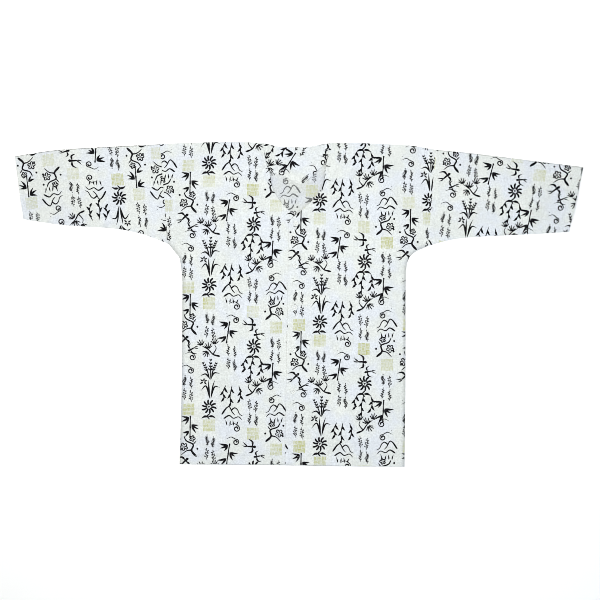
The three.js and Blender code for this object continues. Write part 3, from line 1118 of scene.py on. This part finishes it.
def closed(*lines):
    """One outline from lines that follow each other, without its repeated points."""
    points = np.vstack(lines)
    gap = np.linalg.norm(points - np.roll(points, 1, axis=0), axis=1)
    return ccw(points[gap > MERGE_GAP])


def neck_fall(d, line, height):
    """How far the cloth sinks towards a neck edge."""
    return height * (1 - smoothstep(distance_to(d, [line], NECK_RUN + 2), 0, NECK_RUN))


def armhole_dip(d, line, side):
    """The groove that a seam pulls into the cloth beside it."""
    return DIP_DEPTH * bell(distance_to(d, [line[line[:, 1] > side.underarm[0]]], 12), DIP_WIDTH)


def back_height(d):
    return UNDER_LIFT + UNDER_RIPPLE * ripples(d) + ridges(d, NECK_CREASES)


def facing_height(d):
    from_edge = distance_to(d, [facing_line, neckline], 20)
    fall = FACING_FALL * (1 - smoothstep(from_edge, 0, FACING_RUN))
    return LAYER + CLOTH + FACING_LIFT - fall + FACING_RIPPLE * ripples(d)


def right_height(d):
    dip = armhole_dip(d, right_line, right_side)
    return upper_cloth(d) - neck_fall(d, right_neck_line, RIGHT_NECK_FALL) - dip


def left_height(d):
    dip = armhole_dip(d, left_line, left_side)
    return lap_cloth(d) - neck_fall(d, left_neck_line, LEFT_NECK_FALL) - dip


def across(p, q_from, q_to):
    """A line across an unrolled sleeve."""
    q = steps(q_from, q_to)
    return np.column_stack([np.full(len(q), p), q])


class Sleeve(Cut):
    """A tube laid flat. Its cut is unrolled from the top fold: p runs along it, q round it, up first."""

    SAMPLES = 161
    # How far the cloth runs on under the panel, how far it sinks there, and over what length
    TUCK = 3.0
    TUCK_FALL = 0.75
    TUCK_RUN = 1.2
    # Cloth this near the seam's level stays there
    SEAM_REACH = 0.2

    def __init__(self, name, sections, side, print_at, print_turn):
        super().__init__(name, side, print_at, print_turn)
        self.is_mirrored = side < 0
        self.low, self.top = Spline([low for low, _ in sections]), Spline([top for _, top in sections])
        self.t = np.linspace(0, 1, self.SAMPLES)
        middle = (self.low(self.t) + self.top(self.t)) / 2
        self.at = lengths_along(middle)
        self.length = self.at[-1]
        self.ways = [unit(middle[k + 1] - middle[k]) for k in (0, -2)]
        self.radius = (LAYER + WALL) / 2
        self.arc = self.radius * math.pi / 2
        p = np.concatenate([[-self.TUCK], steps(0, self.length)])
        half = self.half_width(p)
        self.outline = closed(
            np.column_stack([p, -half]),
            across(self.length, -half[-1], half[-1]),
            np.column_stack([p, half])[::-1],
            across(-self.TUCK, half[0], -half[0]),
        )

    def half_width(self, p):
        t = np.interp(p, self.at, self.t)
        return np.linalg.norm(self.top(t) - self.low(t), axis=-1) + self.arc - self.radius

    def thickness(self, d):
        return lerp(CLOTH, HEM_CLOTH, banded(self.length - d[:, 0], CUFF_DEPTH))

    def place(self, d):
        p, q = d.T
        t, depth = np.interp(p, self.at, self.t), np.abs(q)
        past = p - np.clip(p, 0, self.length)
        low, top = self.low(t), self.top(t)
        width = np.linalg.norm(top - low, axis=1)
        turn = np.minimum(depth / self.radius, math.pi / 2)
        bent = self.radius * (1 - np.cos(turn))
        inward = np.where(depth < self.arc, bent, self.radius + depth - self.arc)
        plan = top + (low - top) * (inward / width)[:, None]
        plan = plan + np.where((past < 0)[:, None], self.ways[0], self.ways[1]) * past[:, None]
        relief = stitched(self.length - p, CUFF_DEPTH, q)
        upper = self.radius + (upper_cloth(plan) + relief - self.radius) * np.sin(turn)
        under = UNDER_LIFT + UNDER_RIPPLE * ripples(plan) - relief
        lower = self.radius + (np.maximum(under, 0) - self.radius) * np.sin(turn)
        closing = 1 - smoothstep(width - inward, 0, SEAM_RUN)
        at_seam = SEAM_HALF_GAP + self.thickness(d)
        upper = lerp(upper, SEAM_LEVEL + at_seam, closing)
        lower = lerp(lower, SEAM_LEVEL - at_seam, closing)
        tuck = self.TUCK_FALL * smoothstep(-p, 0, self.TUCK_RUN)
        dip = DIP_DEPTH * bell(p, DIP_WIDTH)
        upper = np.maximum(upper - tuck - dip, np.minimum(upper, SEAM_LEVEL + self.SEAM_REACH))
        lower = np.minimum(lower + tuck, np.maximum(lower, SEAM_LEVEL - self.SEAM_REACH))
        return np.column_stack([plan, np.where(q < 0, upper, lower)])


back = Panel(
    "back",
    closed(
        hem_line(RIGHT_HEM, LEFT_HEM),
        left_line,
        shoulder_line(left_line[-1][0], right_line[-1][0]),
        right_line[::-1],
    ),
    back_height,
    [(from_line(RIGHT_HEM, LEFT_HEM), HEM_DEPTH)],
    (-232, -296),
    facing=-1,
    grid=6.4,
    slack=0.28,
)
back.seen_inside = ((-112, 158), (104, 331))
facing = Panel(
    "back_neck_facing",
    closed(facing_line, neckline),
    facing_height,
    [(from_curve(facing_line), FACING_DEPTH)],
    (-40, 210),
    print_turn=-30,
    grid=3.6,
)
facing.is_joined = False
front_right = Panel(
    "front_right",
    closed(
        hem_line(RIGHT_HEM, HIDDEN_HEM),
        hidden_line,
        right_neck_line,
        shoulder_line(RIGHT_NECK[-1][1], right_line[-1][0]),
        right_line[::-1],
    ),
    right_height,
    [(from_line(RIGHT_HEM, HIDDEN_HEM), HEM_DEPTH), (from_curve(right_neck_line), NECK_DEPTH)],
    (-262, 20),
)
front_left = Panel(
    "front_left",
    closed(
        hem_line(LAP_HEM, LEFT_HEM),
        left_line,
        shoulder_line(left_line[-1][0], LEFT_NECK[-1][1]),
        left_neck_line[::-1],
        lap_line[::-1],
    ),
    left_height,
    [
        (from_line(LAP_HEM, LEFT_HEM), HEM_DEPTH),
        (from_curve(left_neck_line), NECK_DEPTH),
        (lambda d: d[:, 0] - lap_edge.line(d[:, 1]), FRONT_EDGE_DEPTH),
    ],
    (-24, -60),
)
sleeve_right = Sleeve("sleeve_right", RIGHT_SLEEVE, -1, (30, -90), 180)
sleeve_left = Sleeve("sleeve_left", LEFT_SLEEVE, 1, (12, 40), 0)
CUTS = (back, facing, front_right, front_left, sleeve_right, sleeve_left)


# ---------------------------------------------------------------- materials


class Nodes:
    """Makes the nodes of one material, each from its type and what its sockets get."""

    def __init__(self, name, shader_values):
        self.material = bpy.data.materials.new(name)
        self.material.use_nodes = True
        self.tree = self.material.node_tree
        self.shader = self.tree.nodes["Principled BSDF"]
        for socket, value in shader_values.items():
            self.shader.inputs[socket].default_value = value

    def add(self, kind, settings=None, **sockets):
        node = self.tree.nodes.new("ShaderNode" + kind)
        for key, value in (settings or {}).items():
            setattr(node, key, value)
        for key, value in sockets.items():
            at = int(key[1:]) if key[1:].isdigit() else key.replace("_", " ")
            self.join(value, node.inputs[at])
        return node

    def join(self, value, socket):
        if isinstance(value, bpy.types.NodeSocket):
            self.tree.links.new(value, socket)
        elif isinstance(value, bpy.types.Node):
            self.tree.links.new(value.outputs[0], socket)
        else:
            socket.default_value = value

    def math(self, operation, a, b=0.0, c=0.0, clamp=False):
        return self.add("Math", {"operation": operation, "use_clamp": clamp}, _0=a, _1=b, _2=c)

    def times(self, a, b, clamp=False):
        return self.math("MULTIPLY", a, b, clamp=clamp)

    def span(self, value, low, high, to_low=0.0, to_high=1.0):
        """The value from low..high brought to to_low..to_high, and held there."""
        sockets = {"Value": value, "From_Min": low, "From_Max": high, "To_Min": to_low, "To_Max": to_high}
        return self.add("MapRange", None, **sockets)

    def mix(self, share, a, b, blend="MIX"):
        node = self.add("Mix", {"data_type": "RGBA", "blend_type": blend}, _0=share, _6=a, _7=b)
        return node.outputs[2]

    def noise(self, at, scale, detail=2.0):
        return self.add("TexNoise", None, Vector=at, Scale=scale, Detail=detail).outputs["Fac"]

    def streaks(self, at, stretch, detail):
        """Noise drawn out along one way of the cloth."""
        return self.noise(self.add("VectorMath", {"operation": "MULTIPLY"}, _0=at, _1=stretch), 1.0, detail)

    def place(self):
        return self.add("TexCoord").outputs["Object"]

    def wear(self, colour, roughness=None, **bump):
        """Joins what the shader gets: a colour, a roughness and a bump."""
        self.join(colour, self.shader.inputs["Base Color"])
        if roughness:
            self.join(roughness, self.shader.inputs["Roughness"])
        if bump:
            self.join(self.add("Bump", None, **bump), self.shader.inputs["Normal"])
        return self.material


def rgb(*linear):
    return (*linear, 1.0)


COTTON_COLOUR = rgb(0.648, 0.668, 0.65)
SHADED_COTTON = rgb(0.6, 0.626, 0.61)
COOL_COTTON = rgb(0.61, 0.64, 0.682)
INK_COLOUR = rgb(0.002, 0.002, 0.003)
DRY_INK = rgb(0.035, 0.035, 0.04)
GOLD_COLOUR = rgb(0.39, 0.4, 0.15)
COTTON_ROUGHNESS = 0.85
INK_GLOSS = 0.2
# How much the painted shade beside a side seam darkens the cloth, as a share
SEAM_PAINTED_SHADE = 0.3
# A yarn's width in millimetres
YARN = 0.42
# Heights of the cloth's relief, in metres
WEAVE_HEIGHT = 0.00003
SLUB_HEIGHT = 0.00016
CRUSH_HEIGHT = 0.0013
CRINKLE_HEIGHT = 0.0008


def printed_cotton(name, ink_share, cloth_share):
    """Printed plain-weave cotton with slubs, soft creasing and ink that runs dry in places."""
    sheen = {"Sheen Weight": 0.02, "Sheen Roughness": 0.4}
    n = Nodes(name, {"Roughness": COTTON_ROUGHNESS, "Specular IOR Level": 0.05, **sheen})
    at = n.add("VectorMath", {"operation": "SCALE"}, _0=n.add("UVMap", {"uv_map": "cloth"}), Scale=1 / MM)
    place = n.place()
    tones = n.add("Attribute", {"attribute_name": "print"}).outputs["Color"]
    # The print layer: red is ink, green is gold, blue is painted shade beside the side seams
    ink, gold, seam = n.add("SeparateColor", None, _0=tones).outputs
    # slubs: thicker yarns, long along the warp or along the weft
    slub = n.math("ADD", n.streaks(at, (0.9, 0.035, 1), 3.0), n.streaks(at, (0.03, 0.8, 1), 3.0))
    cloth = n.mix(n.span(n.noise(place, 16.0, 3.0), 0.3, 0.7), COTTON_COLOUR, SHADED_COTTON)
    cloth = n.mix(n.span(n.noise(place, 21.0), 0.42, 0.62), cloth, COOL_COTTON)
    fleck = n.span(n.noise(place, 310.0), 0.32, 0.68, 0.885, 1.09)
    shade = n.times(n.span(slub, 0.75, 1.25, 0.955, 1.04), fleck)
    # Painted shade: the cloth darkens beside the side seams
    shade = n.times(shade, n.math("MULTIPLY_ADD", seam, -SEAM_PAINTED_SHADE, cloth_share))
    cloth = n.mix(1.0, cloth, n.add("CombineXYZ", None, X=shade, Y=shade, Z=shade), "MULTIPLY")
    # the print: gold is worn in specks and pressed more or less, ink runs dry in streaks
    worn = n.span(n.noise(place, 95.0, 4.0), 0.3, 0.62, 1.0, 0.6)
    pressed = n.span(n.noise(place, 11.0, 1.0), 0.38, 0.62, 0.5, 1.3)
    gilt = n.times(n.times(gold, worn), n.times(pressed, ink_share), clamp=True)
    dry = n.span(n.streaks(at, (1.1, 0.16, 1), 4.0), 0.55, 0.72)
    covered = n.times(ink, ink_share)
    colour = n.mix(covered, n.mix(gilt, cloth, GOLD_COLOUR), n.mix(dry, INK_COLOUR, DRY_INK))
    # relief: the weave's crossings, the slubs and a soft creasing
    part = n.add("SeparateXYZ", None, _0=at)
    crossings = [n.math("SINE", n.times(part.outputs[axis], math.pi / YARN)) for axis in (0, 1)]
    height = n.math("MULTIPLY_ADD", n.times(*crossings), WEAVE_HEIGHT, n.times(slub, SLUB_HEIGHT))
    crush = n.times(n.noise(place, 42.0, 3.0), CRUSH_HEIGHT)
    crinkle = n.math("MULTIPLY_ADD", n.noise(place, 170.0, 3.0), CRINKLE_HEIGHT, crush)
    height = n.math("ADD", height, crinkle)
    roughness = n.math("SUBTRACT", COTTON_ROUGHNESS, n.times(covered, INK_GLOSS))
    return n.wear(colour, roughness, Strength=1.0, Distance=1.0, Height=height)


def sewing_thread():
    """Cotton thread with its twist."""
    n = Nodes("thread", {"Roughness": 0.6, "Sheen Weight": 0.2, "Specular IOR Level": 0.35})
    place = n.place()
    twist = n.add("TexWave", None, Vector=place, Scale=900.0, Distortion=1.5)
    colour = n.mix(n.noise(place, 140.0), rgb(0.7, 0.72, 0.71), rgb(0.61, 0.63, 0.62))
    return n.wear(colour, Strength=0.4, Distance=0.00004, Height=twist)


def button_resin():
    """Pale resin with a soft pearly cloud."""
    n = Nodes("button_resin", {"Roughness": 0.4, "IOR": 1.5, "Coat Weight": 0.12, "Coat Roughness": 0.2})
    place = n.place()
    cloud = n.noise(place, 260.0, 3.0)
    swirl = n.add("TexWave", {"wave_type": "RINGS"}, Vector=place, Scale=120.0, Distortion=9.0)
    share = n.math("ADD", n.times(cloud, 0.6), n.times(swirl, 0.4))
    colour = n.mix(n.span(share, 0.25, 0.75), rgb(0.59, 0.61, 0.6), rgb(0.66, 0.68, 0.67))
    return n.wear(colour, n.span(cloud, 0.2, 0.8, 0.32, 0.46), Strength=0.25, Distance=0.0001, Height=cloud)


right_side_cotton = printed_cotton("printed_cotton", 1.0, 1.0)
wrong_side_cotton = printed_cotton("printed_cotton_wrong_side", 0.76, 0.885)
thread = sewing_thread()
resin = button_resin()

# ---------------------------------------------------------------- threads and buttons

STITCH_PITCH = 3.1
STITCH_LENGTH = 2.3
FIRST_STITCH = 0.6
THREAD_RADIUS = 0.17
HOLE_THREAD_RADIUS = 0.2
BUTTON_THREAD_RADIUS = 0.24
THREAD_SIDES = 4
# Rings of one stitch: share of its length, of its radius, and its height over the cloth in radii
STITCH_RINGS = ((0, 0.35, -0.8), (0.2, 1, 0.35), (0.8, 1, 0.35), (1, 0.35, -0.8))


def make_threads(name, starts, ends, normals, radius, arch=0.0):
    """Short lengths of thread as one mesh, from arrays of their ends and of the normal under them."""
    way = unit(ends - starts)
    side = unit(np.cross(normals, way))
    up = np.cross(way, side)
    rings = []
    for share, size, lift in STITCH_RINGS:
        centre = lerp(starts, ends, share) + up * radius * (lift + arch * 4 * share * (1 - share))
        for k in range(THREAD_SIDES):
            a = 2 * math.pi * (k + 0.5) / THREAD_SIDES
            spoke = side * math.cos(a) + up * math.sin(a)
            rings.append((centre + spoke * radius * size, spoke))
    corners = np.stack([at for at, _ in rings], axis=1)
    spokes = np.stack([spoke for _, spoke in rings], axis=1)
    faces = []
    for ring in range(len(STITCH_RINGS) - 1):
        for k in range(THREAD_SIDES):
            a, b = ring * THREAD_SIDES + k, ring * THREAD_SIDES + (k + 1) % THREAD_SIDES
            faces += [(a, b, b + THREAD_SIDES), (a, b + THREAD_SIDES, a + THREAD_SIDES)]
    last = (len(STITCH_RINGS) - 1) * THREAD_SIDES
    faces += [(0, k + 1, k) for k in range(1, THREAD_SIDES - 1)]
    faces += [(last, last + k, last + k + 1) for k in range(1, THREAD_SIDES - 1)]
    firsts = np.arange(len(starts)) * corners.shape[1]
    triangles = (np.array(faces)[None, :, :] + firsts[:, None, None]).reshape(-1, 3)
    return new_object(name, corners.reshape(-1, 3), triangles, spokes.reshape(-1, 3), [thread])


def offset_line(line, distance):
    """A line beside another one, to its left where the distance is positive."""
    return line + left_of(unit(np.gradient(line, axis=0))) * distance


def sewn_into(cut, starts, ends):
    """Ends and normals of stitches, from lists of where they start and end on a cut."""
    starts, ends = np.vstack(starts), np.vstack(ends)
    return cut.place(starts), cut.place(ends), outward(cut, (starts + ends) / 2)[1]


def sewn_along(cut, lines):
    """Running stitches along lines of a cut."""
    starts, ends = [], []
    for line in lines:
        line = line[within(line, cut.outline)]
        at = lengths_along(line)
        first = np.arange(FIRST_STITCH, at[-1] - STITCH_PITCH, STITCH_PITCH)
        for found, along in ((starts, first), (ends, first + STITCH_LENGTH)):
            found.append(np.column_stack([np.interp(along, at, line[:, axis]) for axis in (0, 1)]))
    return sewn_into(cut, starts, ends)


def cuff_line(sleeve):
    p = sleeve.length - CUFF_DEPTH + STITCH_INSET
    return across(p, 1 - sleeve.half_width(p), sleeve.half_width(p) - 1)


HEM_STITCH = HEM_DEPTH - STITCH_INSET
SEAMS = (
    (back, [offset_line(hem_line(RIGHT_HEM, LEFT_HEM), HEM_STITCH)]),
    (facing, [offset_line(facing_line, FACING_DEPTH - STITCH_INSET)]),
    (
        front_right,
        [
            offset_line(hem_line(RIGHT_HEM, HIDDEN_HEM), HEM_STITCH),
            offset_line(right_neck_line, NECK_DEPTH - STITCH_INSET),
        ],
    ),
    (
        front_left,
        [
            offset_line(hem_line(LAP_HEM, LEFT_HEM), HEM_STITCH),
            offset_line(left_neck_line, STITCH_INSET - NECK_DEPTH),
            offset_line(lap_line, STITCH_INSET - FRONT_EDGE_DEPTH),
        ],
    ),
    (sleeve_right, [cuff_line(sleeve_right)]),
    (sleeve_left, [cuff_line(sleeve_left)]),
)

# A buttonhole: its length, half its slot's width, its stitches' pitch, reach and slant, half its end bars
HOLE_LENGTH = 16.5
SLOT_HALF = 0.15
HOLE_PITCH = 0.62
HOLE_REACH = 1.6
HOLE_SLANT = 0.08
BAR_WIDTH_HALF = 1.1
BAR_LENGTH_HALF = 0.9
# A button's four holes: each one's distance from the middle along x and y, and its radius
BUTTON_HOLES = 1.55
HOLE_RADIUS = 0.8
# A button's face and back: shares of its radius, and heights in millimetres
BUTTON_FACE = ((0, 0.5, 0.6, 0.7, 0.8, 0.9, 0.96, 1), (1.5, 1.5, 1.62, 2.02, 2.18, 2.18, 2.0, 1.45))
BUTTON_BACK = ((0, 0.8, 0.93, 1), (0.0, 0.0, 0.12, 0.6))
BUTTON_SIDES = 56
# Rings that only shape a button's mesh, as shares of its radius
EXTRA_RINGS = (0.93, 0.98)
# A button's thread: its strands' offsets, how deep they start in a hole, and their arch in thread radii
THREAD_SPREAD = (-0.28, 0, 0.28)
THREAD_SINK = 0.15
THREAD_ARCH = 1.6
SHARP_ANGLE = math.radians(40)


def buttonhole(centre):
    """Satin stitches round a slot: ends and normals, as sewn_into gives them."""
    y = np.arange(-HOLE_LENGTH / 2, HOLE_LENGTH / 2, HOLE_PITCH) + centre[1]
    x = np.arange(-BAR_WIDTH_HALF, BAR_WIDTH_HALF + 0.1, HOLE_PITCH) + centre[0]
    starts, ends = [], []
    for side in (-1, 1):
        starts.append(np.column_stack([np.full(len(y), centre[0] + side * SLOT_HALF), y]))
        ends.append(np.column_stack([np.full(len(y), centre[0] + side * HOLE_REACH), y + HOLE_SLANT]))
    for side in (-1, 1):
        tip_y = centre[1] + side * HOLE_LENGTH / 2
        starts.append(np.column_stack([x, np.full(len(x), tip_y - BAR_LENGTH_HALF)]))
        ends.append(np.column_stack([x, np.full(len(x), tip_y + BAR_LENGTH_HALF)]))
    return sewn_into(front_left, starts, ends)


def make_button(name, base, turn):
    """A turned button with a dished face and four holes, cut like the cloth, and its own thread."""
    angles = np.linspace(0, 2 * math.pi, BUTTON_SIDES, endpoint=False)
    circle = np.column_stack([np.cos(angles), np.sin(angles)])
    centres = BUTTON_HOLES * np.array([(1, 1), (-1, 1), (-1, -1), (1, -1)]) @ turned(turn)
    outlines = [circle * BUTTON_RADIUS] + [circle[::4] * HOLE_RADIUS + centre for centre in centres]
    rings = [circle[:: 2 if share > 0.65 else 4] * BUTTON_RADIUS * share for share in BUTTON_FACE[0][1:-1]]
    rings += [circle * BUTTON_RADIUS * share for share in EXTRA_RINGS]
    plan, index, _ = filled(outlines, rings, lambda held_by: held_by == [0], 1e-5)
    share = np.linalg.norm(plan, axis=1) / BUTTON_RADIUS
    face = np.column_stack([plan, np.interp(share, *BUTTON_FACE)])
    under = np.column_stack([plan, np.interp(share, *BUTTON_BACK)])
    walls = [wall(loop, loop + len(plan)) for loop, _ in boundary_loops(index)]
    mesh = bpy.data.meshes.new(name)
    corners = (np.vstack([face, under]) + base) * MM
    faces = np.vstack([index, index[:, ::-1] + len(plan), *walls])
    mesh.from_pydata(corners.tolist(), [], faces.tolist(), False)
    mesh.materials.append(resin)
    mesh.set_sharp_from_angle(angle=SHARP_ANGLE)
    made = linked(name, mesh)
    up = np.tile([0.0, 0.0, 1.0], (6, 1))
    spread = np.array([(x, 0) for x in THREAD_SPREAD]) @ turned(turn)
    ends = [np.vstack([centres[k] + spread for k in pair]) for pair in ((0, 1), (3, 2))]
    ends = [np.column_stack([end, np.full(6, BUTTON_FACE[1][0] - THREAD_SINK)]) + base for end in ends]
    sewn = make_threads(name + "_thread", *ends, up, BUTTON_THREAD_RADIUS, THREAD_ARCH)
    sewn.parent = made
    return made, sewn


pieces = {cut.name: make_cloth(cut, [right_side_cotton, wrong_side_cotton]) for cut in CUTS}
seams = {}
for cut, lines in SEAMS:
    seams[cut.name] = make_threads(cut.name + "_stitches", *sewn_along(cut, lines), THREAD_RADIUS)
button_pieces = []
holes = []
for k in range(BUTTON_COUNT):
    y = TOP_BUTTON_Y - k * BUTTON_PITCH
    at = np.array([[float(lap_edge(y)) + BUTTON_INSET, y]])
    base = np.array([*at[0], float(lap_cloth(at)[0]) + SEAM_GAP])
    button_pieces.append(make_button(f"sewn_button_{k + 1}", base, 12 + 31 * k))
    holes.append(buttonhole(at[0]))
hole_stitches = (np.vstack(rows) for rows in zip(*holes))
buttonholes = make_threads("buttonholes", *hole_stitches, HOLE_THREAD_RADIUS)

# ---------------------------------------------------------------- how the pieces belong together

for cut in CUTS:
    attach(pieces[cut.name], "root")
    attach(seams[cut.name], "root")
    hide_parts(cut.name)
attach(buttonholes, "root")
for k, (button, sewn) in enumerate(button_pieces):
    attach(button, "root")
    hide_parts(f"button_{k + 1}")

# What each piece was cut to, with its hems and seam allowances, and what it lies on: width, length, area
SHEETS = {
    "back": (0.616, 0.738, 0.388, ["floor"]),
    "back_neck_facing": (0.214, 0.104, 0.0125, ["back"]),
    "front_right": (0.352, 0.738, 0.2, ["back", "back_neck_facing"]),
    "front_left": (0.378, 0.738, 0.212, ["back", "back_neck_facing", "front_right"]),
    "sleeve_right": (0.45, 0.346, 0.12, ["floor"]),
    "sleeve_left": (0.438, 0.338, 0.116, ["floor"]),
}

# ---------------------------------------------------------------- floor, light and camera

FLOOR_Z = -0.0002
FLOOR_SIZE = 12
CAMERA_AT = (0.0018, 0.0092, 3.4)
VIEW_WIDTH = 1.29
SENSOR_WIDTH = 36
WORLD_STRENGTH = 0.4
# Square lights: name, place, where each points, side, power, colour
LIGHTS = (
    ("overhead", (-0.05, 0.15, 1.5), (-0.05, 0.1, 0), 0.9, 18.6, (1.0, 1.0, 0.985)),
    ("key", (-2.4, 2.6, 2.4), (0, 0, 0), 1.4, 57.5, (1.0, 0.985, 0.9)),
    ("fill", (1.8, -0.8, 1.9), (0.1, 0, 0), 1.4, 14, (0.72, 0.87, 1.0)),
)

bpy.ops.mesh.primitive_plane_add(size=FLOOR_SIZE, location=(0, 0, FLOOR_Z))
floor = bpy.context.object
floor.name = "floor"
paper = Nodes("floor_paper", {"Roughness": 0.9, "Specular IOR Level": 0.1})
paper_tone = paper.span(paper.noise(paper.place(), 3.0), 0.3, 0.7)
floor.data.materials.append(paper.wear(paper.mix(paper_tone, rgb(0.95, 0.95, 0.95), rgb(0.94, 0.94, 0.94))))
floor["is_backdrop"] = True

for cut in CUTS:
    width, length, area, under = SHEETS[cut.name]
    sewn = [seams[cut.name]]
    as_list(under)
    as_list(sewn)

for name, at, towards, size, power, colour in LIGHTS:
    data = bpy.data.lights.new(name, "AREA")
    data.shape, data.size, data.energy, data.color = "SQUARE", size, power, colour
    light = linked(name, data)
    light.location = at
    light.rotation_euler = (Vector(towards) - Vector(at)).to_track_quat("-Z", "Y").to_euler()

scene = bpy.context.scene
world = bpy.data.worlds.new("studio")
world.use_nodes = True
background = world.node_tree.nodes["Background"]
background.inputs["Color"].default_value = rgb(0.98, 0.99, 1.0)
background.inputs["Strength"].default_value = WORLD_STRENGTH
scene.world = world
scene.view_settings.view_transform = "Standard"
scene.view_settings.look = "None"
scene.cycles.filter_width = 0.9

camera_data = bpy.data.cameras.new("camera")
camera_data.sensor_width = SENSOR_WIDTH
camera_data.lens = SENSOR_WIDTH * CAMERA_AT[2] / VIEW_WIDTH
scene.camera = linked("camera", camera_data)
scene.camera.location = CAMERA_AT

plain = [[[float(v) for v in corner] for corner in box] for box in (cad_box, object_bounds())]
